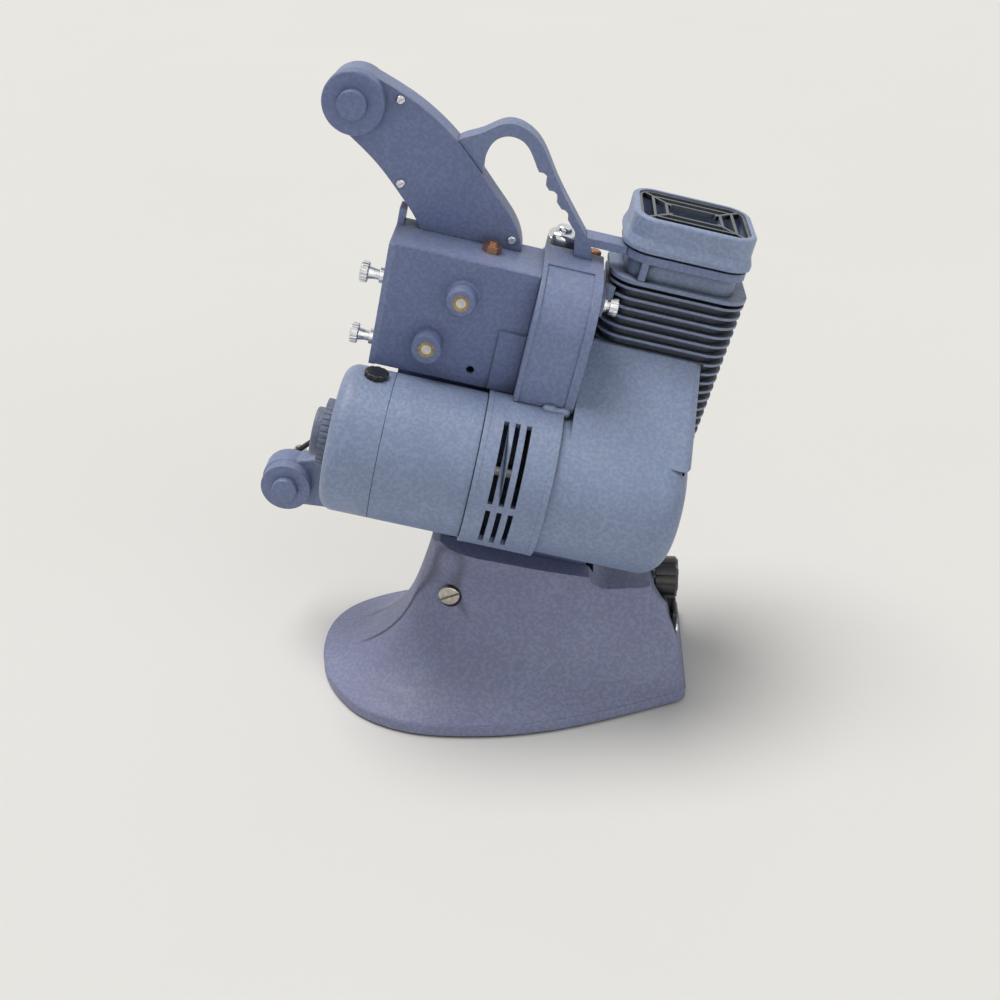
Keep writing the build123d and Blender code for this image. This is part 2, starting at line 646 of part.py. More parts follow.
    # Film shafts through the far wall, shutter slot, claw window
    with BuildSketch(side(CASE_FAR + 1)):
        with Locations(UPPER_AXIS, LOWER_AXIS):
            Circle(ARBOR_R + RUN)
    extrude(amount=CASE_FAR + 1 - POCKET_NEAR, mode=Mode.SUBTRACT)
    with BuildSketch(side(CASE_FAR + 1)):
        block(SHUTTER_U - 1, SHUTTER_U + 2.2, OPTIC_W - SHUTTER_R - 1, OPTIC_W + SHUTTER_R + 1)
        block(SHUTTER_U, BELT_U - 2.8, OPTIC_W - 8.5, OPTIC_W + 8.5)
        block(GATE_U + 2, GATE_U + 6.5, 121, 142)
    extrude(amount=6, mode=Mode.SUBTRACT)
    # Pivot bore, thumb-screw bores and the strap's and shelf's seats
    with BuildSketch(side(LUG_HALF)):
        Circle(PIVOT_R + RUN)
    extrude(amount=2 * LUG_HALF, mode=Mode.SUBTRACT)
    with BuildSketch(level(166)):
        block(SHOULDER_U, SHOULDER_BACK + 2, CASE_FAR, CASE_FAR + 18, corner=3)
        block(SHOULDER_U, SHOULDER_BACK + 2, CASE_FAR, CASE_FAR + 6)
    extrude(amount=4)
    with BuildSketch(across(CASE_FRONT - 1)):
        with Locations(*FRONT_SCREWS):
            Circle(2 + RUN)
    extrude(amount=8, mode=Mode.SUBTRACT)
    with BuildSketch(across(SHOULDER_BACK - 5)):
        with Locations(HOUSE_SCREW):
            Circle(2 + RUN)
    extrude(amount=8, mode=Mode.SUBTRACT)
main_casting.part.label = "main_casting"
export_step(main_casting.part, "parts/main_casting.step")

with BuildPart() as mechanism_cover:
    with BuildSketch(side(interior_near)):
        block(CASE_FRONT, SHOULDER_U - SEAT, CASE_FLOOR, CASE_TOP)
    extrude(amount=COVER_T)
    with BuildSketch(side(interior_near - COVER_T)):
        with Locations(UPPER_AXIS, MIDDLE_AXIS):
            Circle(COVER_BOSS_R)
    extrude(amount=COVER_BOSS_H)
    with BuildSketch(side(interior_near - COVER_T)):
        block(-5.2, SHOULDER_U - SEAT, CASE_FLOOR, 145)
    extrude(amount=1.6)
    chamfer(faces().sort_by(Axis.Y)[:3].sort_by(SortBy.AREA)[-1].edges(), 1)
    with BuildSketch(side(interior_near)):
        with Locations(UPPER_AXIS, MIDDLE_AXIS):
            Circle(BUSH_R)
    extrude(amount=COVER_T + COVER_BOSS_H, mode=Mode.SUBTRACT)
    with BuildSketch(side(interior_near)):
        with Locations((-14.9, 121.4)):
            Circle(2)
    extrude(amount=COVER_T, mode=Mode.SUBTRACT)
    with BuildSketch(across(CASE_FRONT, MOTOR_Y, MOTOR_W)):
        Circle(saddle_r)
    extrude(amount=SHOULDER_BACK - CASE_FRONT, mode=Mode.SUBTRACT)
mechanism_cover.part.label = "mechanism_cover"
export_step(mechanism_cover.part, "parts/mechanism_cover.step")

with BuildPart() as shaft_bearings:
    with BuildSketch(side(interior_near)):
        with Locations(UPPER_AXIS, MIDDLE_AXIS):
            Circle(BUSH_R - 0.02)
            Circle(ARBOR_R + RUN, mode=Mode.SUBTRACT)
    extrude(amount=COVER_T + COVER_BOSS_H)
shaft_bearings.part.label = "shaft_bearings"
export_step(shaft_bearings.part, "parts/shaft_bearings.step")

with BuildPart() as front_plate:
    with BuildSketch(across(CASE_FRONT - FRONT_T)):
        block(CASE_NEAR, CASE_FAR, CASE_FLOOR, CASE_TOP, corner=1)
        block(ARM_NEAR, CASE_FAR, CASE_TOP - 5, CASE_TOP + 8, corner=1)
        with Locations(*FRONT_SCREWS):
            Circle(2 + RUN, mode=Mode.SUBTRACT)
    extrude(amount=FRONT_T)
front_plate.part.label = "front_plate"
export_step(front_plate.part, "parts/front_plate.step")


def thumb_screw_profile(front, tip, head_r):
    """Half profile in u and radius: knurled head in front, waist, washer and shank."""
    with BuildLine() as outline:
        Polyline((front, 0), (front, head_r - 0.6), (front + 0.6, head_r), (front + 3.4, head_r),
                 (front + 4, head_r - 0.6), (front + 4, 3.2), (front + 7, 2.6), (CASE_FRONT - FRONT_T - 2.2, 2.6),
                 (CASE_FRONT - FRONT_T - 2.2, 3.8), (CASE_FRONT - FRONT_T - 0.1, 3.8),
                 (CASE_FRONT - FRONT_T - 0.1, 2), (tip, 2), (tip, 0), (front, 0))
    make_face(outline.edges())


with BuildPart() as upper_thumb_screw:
    with BuildSketch(side(FRONT_SCREWS[0][0], 0, FRONT_SCREWS[0][1])):
        thumb_screw_profile(-75, CASE_FRONT + 5, 5)
    revolve(axis=head_axis(0, *FRONT_SCREWS[0], "u"))
    with BuildSketch(across(-75, *FRONT_SCREWS[0])):
        with PolarLocations(5.2, 18):
            Circle(0.5)
    extrude(amount=4, mode=Mode.SUBTRACT)
upper_thumb_screw.part.label = "upper_thumb_screw"
export_step(upper_thumb_screw.part, "parts/upper_thumb_screw.step")

with BuildPart() as lower_thumb_screw:
    with BuildSketch(side(FRONT_SCREWS[1][0], 0, FRONT_SCREWS[1][1])):
        thumb_screw_profile(-75, CASE_FRONT + 5, 5)
    revolve(axis=head_axis(0, *FRONT_SCREWS[1], "u"))
    with BuildSketch(across(-75, *FRONT_SCREWS[1])):
        with PolarLocations(5.2, 18):
            Circle(0.5)
    extrude(amount=4, mode=Mode.SUBTRACT)
lower_thumb_screw.part.label = "lower_thumb_screw"
export_step(lower_thumb_screw.part, "parts/lower_thumb_screw.step")

# Motor, vent band and blower round one axis
with BuildPart() as motor_end_bell:
    with BuildSketch(side(MOTOR_Y, 0, MOTOR_W)):
        with BuildLine():
            rim = Polyline((MOTOR_SEAM, MOTOR_R - MOTOR_WALL), (MOTOR_SEAM, MOTOR_R), (MOTOR_FRONT + 7, MOTOR_R))
            edge = TangentArc(rim @ 1, (MOTOR_FRONT, MOTOR_R - 7), tangent=(-1, 0))
            Polyline(edge @ 1, (MOTOR_FRONT, SHAFT_R + RUN), (MOTOR_FRONT + 9, SHAFT_R + RUN),
                     (MOTOR_FRONT + 9, SHAFT_R + 4), (MOTOR_FRONT + 3, SHAFT_R + 4),
                     (MOTOR_FRONT + 3, MOTOR_R - 8), (MOTOR_FRONT + 8, MOTOR_R - MOTOR_WALL), rim @ 0)
        make_face()
    revolve(axis=head_axis(0, MOTOR_Y, MOTOR_W, "u"))
    with BuildSketch(level(MOTOR_W + MOTOR_R + 3, BRUSH_U, MOTOR_Y)):
        Circle(BRUSH_R - 0.8)
    extrude(amount=-2 * MOTOR_R - 6, mode=Mode.SUBTRACT)
motor_end_bell.part.label = "motor_end_bell"
export_step(motor_end_bell.part, "parts/motor_end_bell.step")

with BuildPart() as motor_housing:
    with BuildSketch(across(MOTOR_SEAM, MOTOR_Y, MOTOR_W)):
        Circle(MOTOR_R)
        Circle(MOTOR_R - MOTOR_WALL, mode=Mode.SUBTRACT)
    extrude(amount=MOTOR_REAR - MOTOR_SEAM)
    with BuildSketch(across(MOTOR_REAR - 3, MOTOR_Y, MOTOR_W)):
        Circle(MOTOR_R - 1)
        Circle(SHAFT_R + RUN, mode=Mode.SUBTRACT)
        with PolarLocations(21, 6):
            Circle(7, mode=Mode.SUBTRACT)
    extrude(amount=3)
    with BuildSketch(across(MOTOR_REAR - 7, MOTOR_Y, MOTOR_W)):
        Circle(SHAFT_R + 4)
        Circle(SHAFT_R + RUN, mode=Mode.SUBTRACT)
    extrude(amount=5)
    chamfer(edges().filter_by(GeomType.CIRCLE).group_by(SortBy.RADIUS)[-1], 0.4)
motor_housing.part.label = "motor_housing"
export_step(motor_housing.part, "parts/motor_housing.step")

with BuildPart() as brush_caps:
    with BuildSketch(level(MOTOR_W + 13, BRUSH_U, MOTOR_Y)):
        Circle(BRUSH_R - 1)
    extrude(amount=MOTOR_R - 12.8)
    with BuildSketch(level(MOTOR_W + MOTOR_R + 0.1, BRUSH_U, MOTOR_Y)):
        Circle(BRUSH_R)
        with PolarLocations(BRUSH_R + 0.3, 10):
            Circle(0.8, mode=Mode.SUBTRACT)
    extrude(amount=2.4)
    chamfer(faces().filter_by(GeomType.PLANE).sort_by(Axis.Z)[-1].edges(), 0.4)
    mirror(about=Plane(origin=HEAD.from_local_coords((BRUSH_U, MOTOR_Y, MOTOR_W)), z_dir=HEAD.z_dir))
brush_caps.part.label = "brush_caps"
export_step(brush_caps.part, "parts/brush_caps.step")

with BuildPart() as motor_stator:
    with BuildSketch(across(MOTOR_SEAM + 5, MOTOR_Y, MOTOR_W)):
        Circle(MOTOR_R - MOTOR_WALL - 0.1)
        Circle(STATOR_BORE, mode=Mode.SUBTRACT)
    extrude(amount=MOTOR_REAR - MOTOR_SEAM - 16)
motor_stator.part.label = "motor_stator"
export_step(motor_stator.part, "parts/motor_stator.step")

# Shaft with armature, commutator and belt pulley in one turned piece
with BuildPart() as motor_shaft:
    with BuildSketch(side(MOTOR_Y, 0, MOTOR_W)):
        with BuildLine():
            Polyline((MOTOR_FRONT - 6, 0), (MOTOR_FRONT - 6, SHAFT_R), (BRUSH_U - 5, SHAFT_R), (BRUSH_U - 5, 10),
                     (BRUSH_U + 5, 10), (BRUSH_U + 5, SHAFT_R + 2), (MOTOR_SEAM + 5, SHAFT_R + 2),
                     (MOTOR_SEAM + 5, STATOR_BORE - 0.6), (MOTOR_REAR - 11, STATOR_BORE - 0.6),
                     (MOTOR_REAR - 11, SHAFT_R + 1.5), (MOTOR_REAR - 7.3, SHAFT_R + 1.5), (MOTOR_REAR - 7.3, SHAFT_R),
                     (BELT_U - 3, SHAFT_R), (BELT_U - 3, MOTOR_PULLEY_R + 1.5), (BELT_U - 2, MOTOR_PULLEY_R + 1.5),
                     (BELT_U - 1.6, MOTOR_PULLEY_R - BELT_R - 0.1), (BELT_U + 1.6, MOTOR_PULLEY_R - BELT_R - 0.1),
                     (BELT_U + 2, MOTOR_PULLEY_R + 1.5), (BELT_U + 3, MOTOR_PULLEY_R + 1.5), (BELT_U + 3, SHAFT_R),
                     (FAN_U + 28, SHAFT_R), (FAN_U + 28, 0), (MOTOR_FRONT - 6, 0))
        make_face()
    revolve(axis=head_axis(0, MOTOR_Y, MOTOR_W, "u"))
motor_shaft.part.label = "motor_shaft"
export_step(motor_shaft.part, "parts/motor_shaft.step")

with BuildPart() as blower_fan:
    with BuildSketch(across(FAN_U, MOTOR_Y, MOTOR_W)):
        Circle(FAN_R)
        Circle(SHAFT_R + 0.01, mode=Mode.SUBTRACT)
    extrude(amount=1.6)
    with BuildSketch(across(FAN_U, MOTOR_Y, MOTOR_W)):
        with PolarLocations(FAN_R - 4.5, 16):
            Rectangle(8, 1.4, rotation=28)
    extrude(amount=22)
    with BuildSketch(across(FAN_U + 20.4, MOTOR_Y, MOTOR_W)):
        Circle(FAN_R)
        Circle(FAN_R - 8, mode=Mode.SUBTRACT)
    extrude(amount=1.6)
    with BuildSketch(across(FAN_U, MOTOR_Y, MOTOR_W)):
        Circle(SHAFT_R + 4)
        Circle(SHAFT_R + 0.01, mode=Mode.SUBTRACT)
    extrude(amount=12)
blower_fan.part.label = "blower_fan"
export_step(blower_fan.part, "parts/blower_fan.step")

with BuildPart() as hand_wheel:
    with BuildSketch(across(MOTOR_FRONT - 5, MOTOR_Y, MOTOR_W)):
        Circle(WHEEL_R)
        with PolarLocations(WHEEL_R + 0.4, 36):
            Circle(0.8, mode=Mode.SUBTRACT)
    extrude(amount=4)
    with BuildSketch(across(MOTOR_FRONT - 9.4, MOTOR_Y, MOTOR_W)):
        Circle(WHEEL_NOSE_R)
    extrude(amount=4.4)
    fillet(faces().sort_by(Axis(HEAD.origin, HEAD.x_dir))[0].edges(), 1.2)
    with BuildSketch(across(MOTOR_FRONT - 6, MOTOR_Y, MOTOR_W)):
        Circle(SHAFT_R + 0.01)
    extrude(amount=6, mode=Mode.SUBTRACT)
hand_wheel.part.label = "hand_wheel"
export_step(hand_wheel.part, "parts/hand_wheel.step")

belt_run = hypot(COUNTER_Y - MOTOR_Y, COUNTER_W - MOTOR_W)
belt_course = ((COUNTER_Y - MOTOR_Y) / belt_run, (COUNTER_W - MOTOR_W) / belt_run)

with BuildPart() as vent_band:
    with BuildSketch(side(MOTOR_Y, 0, MOTOR_W)):
        block(MOTOR_REAR + 0.1, BAND_REAR, BAND_R - BAND_WALL, BAND_R)
        block(MOTOR_REAR + 0.1, MOTOR_REAR + 2.6, BAND_R - 5.5, BAND_R + 0.15)
        block(BAND_REAR - 3, BAND_REAR, BAND_R - BAND_WALL, BAND_R + 0.15)
    revolve(axis=head_axis(0, MOTOR_Y, MOTOR_W, "u"))
    # Long air slots, each an arc of the band
    for row in range(3):
        for start, end in SLOT_TURNS:
            with BuildSketch(turned(end)):
                with Locations((SLOT_U + row * SLOT_PITCH, BAND_R)):
                    Rectangle(SLOT_W, 2 * BAND_WALL + 2)
            revolve(axis=head_axis(0, MOTOR_Y, MOTOR_W, "u"), revolution_arc=end - start, mode=Mode.SUBTRACT)
    # Belt's way up into the shoulder
    with BuildSketch(across(BELT_U - 4, MOTOR_Y + 36 * belt_course[0], MOTOR_W + 36 * belt_course[1])):
        Rectangle(14, 24, rotation=degrees(atan2(belt_course[1], belt_course[0])))
    extrude(amount=8, mode=Mode.SUBTRACT)
vent_band.part.label = "vent_band"
export_step(vent_band.part, "parts/vent_band.step")


def drum_profile(inset):
    """Half profile of the blower drum, its rear edge rounded."""
    back = DRUM_REAR - inset
    radius = DRUM_R - inset
    edge = DRUM_EDGE - inset
    with BuildLine() as outline:
        start = Polyline((BAND_REAR + 0.2, 0), (BAND_REAR + 0.2, radius), (back - edge, radius))
        bend = TangentArc(start @ 1, (back, radius - edge), tangent=(1, 0))
        Polyline(bend @ 1, (back, 0), start @ 0)
    make_face(outline.edges())


def duct_outline(inset):
    """Duct's section in y and w: a slope that leaves the drum's top for the lamphouse."""
    slope = atan2(PANEL_TOP - DUCT_TOP_W, DUCT_TOP_Y_FAR - DUCT_TOP_Y)
    with BuildLine() as outline:
        Polyline((DUCT_TOP_Y + inset * sin(slope), DUCT_TOP_W - inset * cos(slope)),
                 (DUCT_TOP_Y_FAR + 0.5 * inset, PANEL_TOP - inset), (HOUSE_WALL_Y - 0.1 + 2 * min(inset, 1), PANEL_TOP - inset),
                 (HOUSE_WALL_Y - 0.1 + 2 * min(inset, 1), DUCT_FLOOR + inset), (MOTOR_Y + 20, DUCT_FLOOR + inset),
                 (DUCT_TOP_Y + inset * sin(slope), DUCT_TOP_W - inset * cos(slope)))
    make_face(outline.edges())


with BuildPart() as blower_housing:
    with BuildSketch(across(DUCT_FRONT)):
        duct_outline(0)
    extrude(amount=DUCT_REAR - DUCT_FRONT)
    duct_back = faces().sort_by(Axis(HEAD.origin, HEAD.x_dir))[-1]
    fillet(duct_back.edges().filter_by(lambda edge: (edge @ 0.5).Y < DUCT_TOP_Y_FAR), DUCT_EDGE)
    with BuildSketch(side(MOTOR_Y, 0, MOTOR_W)):
        drum_profile(0)
    revolve(axis=head_axis(0, MOTOR_Y, MOTOR_W, "u"))
    with BuildSketch(side(MOTOR_Y, 0, MOTOR_W)):
        drum_profile(DRUM_WALL)
    revolve(axis=head_axis(0, MOTOR_Y, MOTOR_W, "u"), mode=Mode.SUBTRACT)
    with BuildSketch(across(DUCT_FRONT + DRUM_WALL)):
        duct_outline(DRUM_WALL)
    extrude(amount=DUCT_REAR - DUCT_FRONT - 2 * DRUM_WALL, mode=Mode.SUBTRACT)
blower_housing.part.label = "blower_housing"
export_step(blower_housing.part, "parts/blower_housing.step")

with BuildPart() as drive_belt:
    with BuildSketch(across(BELT_U - BELT_R)):
        belt_outline((MOTOR_Y, MOTOR_W), MOTOR_PULLEY_R + BELT_R, (COUNTER_Y, COUNTER_W), COUNTER_R + BELT_R)
        belt_outline((MOTOR_Y, MOTOR_W), MOTOR_PULLEY_R - BELT_R, (COUNTER_Y, COUNTER_W), COUNTER_R - BELT_R,
                     Mode.SUBTRACT)
    extrude(amount=2 * BELT_R)
    chamfer(edges(), 0.85)
drive_belt.part.label = "drive_belt"
export_step(drive_belt.part, "parts/drive_belt.step")

# Lamphouse: core with cooling fins, collar and neck
def house_outline(inset, flare=0.0, mode=Mode.ADD):
    """Rounded plan of the lamphouse; the flare carries its rear edge further back."""
    block(HOUSE_FRONT + inset, HOUSE_REAR - inset + flare, HOUSE_NEAR + inset, HOUSE_FAR - inset, HOUSE_CORNER - inset,
          mode)


def neck_outline(inset, mode=Mode.ADD):
    """Rounded plan of the neck and of what goes round it."""
    corner = max(CAP_CORNER - inset, 1.5)
    block(CAP_FRONT + inset, CAP_REAR - inset, CAP_NEAR + inset, CAP_FAR - inset, corner, mode)


with BuildPart() as lamphouse:
    with BuildSketch(level(HOUSE_FLOOR)):
        house_outline(FIN_DEPTH)
    extrude(amount=COLLAR_W - HOUSE_FLOOR)
    for fin in range(1, FIN_COUNT):
        with BuildSketch(level(COLLAR_W - FIN_PITCH * fin)):
            house_outline(0, FIN_FLARE * (1 - fin / FIN_COUNT))
        extrude(amount=FIN_T)
    with BuildSketch(level(COLLAR_W - 2)):
        house_outline(0, FIN_FLARE)
    extrude(amount=2)
    with BuildSketch(level(COLLAR_W)):
        neck_outline(NECK_INSET)
    extrude(amount=NECK_TOP_W - COLLAR_W)
    # Fins stop where the duct meets the near wall
    with BuildSketch(level(HOUSE_FLOOR)):
        block(HOUSE_FRONT - 1, DUCT_REAR + 0.3, HOUSE_NEAR - 1, HOUSE_WALL_Y)
    extrude(amount=PANEL_TOP + 0.3 - HOUSE_FLOOR, mode=Mode.SUBTRACT)
    with BuildSketch(level(HOUSE_FLOOR + 3)):
        house_outline(FIN_DEPTH + HOUSE_WALL)
    extrude(amount=COLLAR_W - HOUSE_FLOOR - 5, mode=Mode.SUBTRACT)
    with BuildSketch(level(COLLAR_W - 3)):
        neck_outline(NECK_INSET + HOUSE_WALL)
    extrude(amount=NECK_TOP_W - COLLAR_W + 3, mode=Mode.SUBTRACT)
    with BuildSketch(level(HOUSE_FLOOR)):
        with Locations((LAMP_U, OPTIC_Y)):
            Circle(11)
    extrude(amount=4, mode=Mode.SUBTRACT)
    with BuildSketch(across(HOUSE_FRONT - 1, OPTIC_Y, OPTIC_W)):
        Circle(CONDENSER_R + 0.1)
    extrude(amount=FIN_DEPTH + 4, mode=Mode.SUBTRACT)
    with BuildSketch(side(HOUSE_WALL_Y + HOUSE_WALL + 1)):
        block(DUCT_FRONT + 12, DUCT_REAR - 6, DUCT_FLOOR + 5, PANEL_TOP - 6)
    extrude(amount=HOUSE_WALL + 2, mode=Mode.SUBTRACT)
    # Ear for the thumb screw on the shoulder's back
    with BuildSketch(across(SHOULDER_BACK + 0.1)):
        block(-5, HOUSE_NEAR + 8, HOUSE_SCREW[1] - 5, HOUSE_SCREW[1] + 5, corner=2)
        with Locations(HOUSE_SCREW):
            Circle(2 + RUN, mode=Mode.SUBTRACT)
    extrude(amount=3)
    with BuildSketch(across(SHOULDER_BACK + 0.1)):
        block(HOUSE_NEAR + 3, HOUSE_NEAR + 8, HOUSE_SCREW[1] - 5, HOUSE_SCREW[1] + 5)
    extrude(amount=8)
lamphouse.part.label = "lamphouse"
export_step(lamphouse.part, "parts/lamphouse.step")

with BuildPart() as lamphouse_cap:
    with BuildSketch(level(NECK_TOP_W)):
        neck_outline(-1.5)
    extrude(amount=2)
    with BuildSketch(level(NECK_TOP_W + 2)):
        neck_outline(-1.5)
    extrude(amount=4, taper=20)
    with BuildSketch(level(NECK_TOP_W + 2)):
        neck_outline(0)
    extrude(amount=CAP_TOP - NECK_TOP_W - 2)
    fillet(faces().sort_by(Axis(HEAD.origin, HEAD.z_dir))[-1].edges(), 1.5)
    with BuildSketch(level(NECK_TOP_W + 2)):
        neck_outline(CAP_WALL)
    extrude(amount=CAP_TOP, mode=Mode.SUBTRACT)
    with BuildSketch(level(NECK_TOP_W - 4)):
        neck_outline(NECK_INSET + HOUSE_WALL + 0.2)
    extrude(amount=6)
    with BuildSketch(level(NECK_TOP_W - 5)):
        neck_outline(NECK_INSET + HOUSE_WALL + 1.7)
    extrude(amount=10, mode=Mode.SUBTRACT)
lamphouse_cap.part.label = "lamphouse_cap"
export_step(lamphouse_cap.part, "parts/lamphouse_cap.step")

# Nested grille bars joined at the corners
with BuildPart() as lamphouse_grille:
    with BuildSketch(level(CAP_TOP - 3.2)):
        for ring in range(3):
            start = CAP_WALL + 0.1 + ring * GRILLE_STEP
            neck_outline(start)
            neck_outline(start + GRILLE_BAR, Mode.SUBTRACT)
        for turn in (1, -1):
            for end in (1, -1):
                with Locations(((CAP_FRONT + CAP_REAR) / 2 + end * 17.4, (CAP_NEAR + CAP_FAR) / 2 + turn * 12.4)):
                    Rectangle(18, GRILLE_BAR, rotation=45 * turn * end)
    extrude(amount=2.4)
lamphouse_grille.part.label = "lamphouse_grille"
export_step(lamphouse_grille.part, "parts/lamphouse_grille.step")

with BuildPart() as lamphouse_thumb_screw:
    with BuildSketch(side(HOUSE_SCREW[0], 0, HOUSE_SCREW[1])):
        with BuildLine():
            Polyline((SHOULDER_BACK - 2.5, 0), (SHOULDER_BACK - 2.5, 2), (SHOULDER_BACK + 3.2, 2),
                     (SHOULDER_BACK + 3.2, 3.4), (SHOULDER_BACK + 4.6, 3.4), (SHOULDER_BACK + 4.6, 2.4),
                     (SHOULDER_BACK + 6, 2.4), (SHOULDER_BACK + 6, 4), (SHOULDER_BACK + 9.5, 4.4),
                     (SHOULDER_BACK + 10, 4), (SHOULDER_BACK + 10, 0), (SHOULDER_BACK - 2.5, 0))
        make_face()
    revolve(axis=head_axis(0, *HOUSE_SCREW, "u"))
    with BuildSketch(across(SHOULDER_BACK + 6, *HOUSE_SCREW)):
        with PolarLocations(4.6, 14):
            Circle(0.5)
    extrude(amount=5, mode=Mode.SUBTRACT)
lamphouse_thumb_screw.part.label = "lamphouse_thumb_screw"
export_step(lamphouse_thumb_screw.part, "parts/lamphouse_thumb_screw.step")

with BuildPart() as lamp_socket:
    with BuildSketch(side(OPTIC_Y, LAMP_U, 0)):
        with BuildLine():
            Polyline((12, SOCKET_FLOOR), (14, SOCKET_FLOOR + 2), (14, HOUSE_FLOOR - 3), (17, HOUSE_FLOOR - 3),
                     (17, HOUSE_FLOOR - 0.1), (10.3, HOUSE_FLOOR - 0.1), (10.3, SOCKET_FLOOR + 4),
                     (0, SOCKET_FLOOR + 4), (0, SOCKET_FLOOR), (12, SOCKET_FLOOR))
        make_face()
    revolve(axis=head_axis(LAMP_U, OPTIC_Y, 0, "w"))
lamp_socket.part.label = "lamp_socket"
export_step(lamp_socket.part, "parts/lamp_socket.step")

with BuildPart() as projection_lamp:
    with BuildSketch(side(OPTIC_Y, LAMP_U, 0)):
        with BuildLine():
            Polyline((0, SOCKET_FLOOR + 4.1), (10, SOCKET_FLOOR + 4.1), (10, 92), (12.5, 97))
            dome = CenterArc((0, 158), 12.5, 0, 90)
            Polyline((12.5, 97), dome @ 0)
            Polyline(dome @ 1, (0, SOCKET_FLOOR + 4.1))
        make_face()
    revolve(axis=head_axis(LAMP_U, OPTIC_Y, 0, "w"))
projection_lamp.part.label = "projection_lamp"
export_step(projection_lamp.part, "parts/projection_lamp.step")

with BuildPart() as condenser_tube:
    with BuildSketch(across(CONDENSER_FRONT, OPTIC_Y, OPTIC_W)):
        Circle(CONDENSER_R)
        Circle(CONDENSER_R - 1.8, mode=Mode.SUBTRACT)
    extrude(amount=HOUSE_FRONT + FIN_DEPTH + 1 - CONDENSER_FRONT)
condenser_tube.part.label = "condenser_tube"
export_step(condenser_tube.part, "parts/condenser_tube.step")

with BuildPart() as condenser_lenses:
    for front in (CONDENSER_FRONT + 3, CONDENSER_FRONT + 18):
        with BuildSketch(across(front, OPTIC_Y, OPTIC_W)):
            Circle(CONDENSER_R - 1.9)
        extrude(amount=5)
condenser_lenses.part.label = "condenser_lenses"
export_step(condenser_lenses.part, "parts/condenser_lenses.step")

# Upper reel arm: hollow casting closed by a cover on the drive side
def upper_arm_outline():
    """Curved arm from the case's top to the supply spindle."""
    u, w = SUPPLY_AXIS
    foot = CASE_TOP + 0.1
    with BuildLine() as outline:
        outer = Spline((-3, foot), (-19, 197.5), (-43, 219.5), (-64.5, 232.3), (u + 7, w + 12.2),
                       tangents=[(-3, 13), (-22, 7)])
        end = ThreePointArc(outer @ 1, (u - ARM_END_R, w), (u - 7, w - 12.2))
        inner = Spline(end @ 1, (-75.8, 199.9), (-62.2, 187), (-52.6, foot), tangents=[(10, -6), (7, -14)])
        Line(inner @ 1, (-3, foot))
    make_face(outline.edges())


with BuildPart() as upper_arm_housing:
    with BuildSketch(side(ARM_FAR)):
        upper_arm_outline()
    extrude(amount=ARM_FAR - ARM_NEAR - ARM_COVER_T)
    with BuildSketch(side(ARM_FAR - ARM_WALL)):
        with BuildLine():
            u, w = SUPPLY_AXIS
            end = ThreePointArc((u + 5.5, w + 10), (u - 11, w + 1), (u - 4, w - 10.5))
            Polyline(end @ 1, (-74, 203), (-61, 190), (-52, 178), (-22, 178), (-22, 196), (-45, 215), (-66, 228.5), end @ 0)
        make_face()
    extrude(amount=ARM_FAR - ARM_NEAR, mode=Mode.SUBTRACT)
    with BuildSketch(side(ARM_FAR)):
        with Locations(SUPPLY_AXIS):
            Circle(3 + RUN)
    extrude(amount=ARM_WALL, mode=Mode.SUBTRACT)
upper_arm_housing.part.label = "upper_arm_housing"
export_step(upper_arm_housing.part, "parts/upper_arm_housing.step")

with BuildPart() as upper_arm_cover:
    with BuildSketch(side(ARM_NEAR + ARM_COVER_T)):
        upper_arm_outline()
    extrude(amount=ARM_COVER_T)
    with BuildSketch(side(ARM_NEAR)):
        with Locations(SUPPLY_AXIS):
            Circle(BOSS_R)
    extrude(amount=ARM_NEAR - BOSS_NEAR)
    fillet(faces().sort_by(Axis.Y)[0].edges(), 1.2)
    with BuildSketch(side(BOSS_NEAR)):
        with Locations(SUPPLY_AXIS):
            Circle(BOSS_CAP_R)
    extrude(amount=BOSS_NEAR - BOSS_CAP_NEAR)
    fillet(faces().sort_by(Axis.Y)[0].edges(), 1)
    with BuildSketch(side(ARM_NEAR + ARM_COVER_T)):
        with Locations(SUPPLY_AXIS):
            Circle(3 + RUN)
    extrude(amount=7, mode=Mode.SUBTRACT)
upper_arm_cover.part.label = "upper_arm_cover"
export_step(upper_arm_cover.part, "parts/upper_arm_cover.step")

with BuildPart() as arm_cover_screws:
    with BuildSketch(side(ARM_NEAR)):
        with Locations(*ARM_SCREWS):
            Circle(2)
    extrude(amount=1.6)
    chamfer(faces().group_by(Axis.Y)[0].edges(), 0.5)
    with BuildSketch(side(ARM_NEAR - 1)):
        for spot in ARM_SCREWS:
            with Locations(spot):
                Rectangle(5, 0.7, rotation=40)
    extrude(amount=1, mode=Mode.SUBTRACT)
arm_cover_screws.part.label = "arm_cover_screws"
export_step(arm_cover_screws.part, "parts/arm_cover_screws.step")

with BuildPart() as arm_nut:
    with BuildSketch(level(CASE_TOP, -16.9, 7)):
        RegularPolygon(4.6, 6)
    extrude(amount=3.6)
    with BuildSketch(level(CASE_TOP + 3.6, -16.9, 7)):
        Circle(2.2)
    extrude(amount=1.6)
arm_nut.part.label = "arm_nut"
export_step(arm_nut.part, "parts/arm_nut.step")


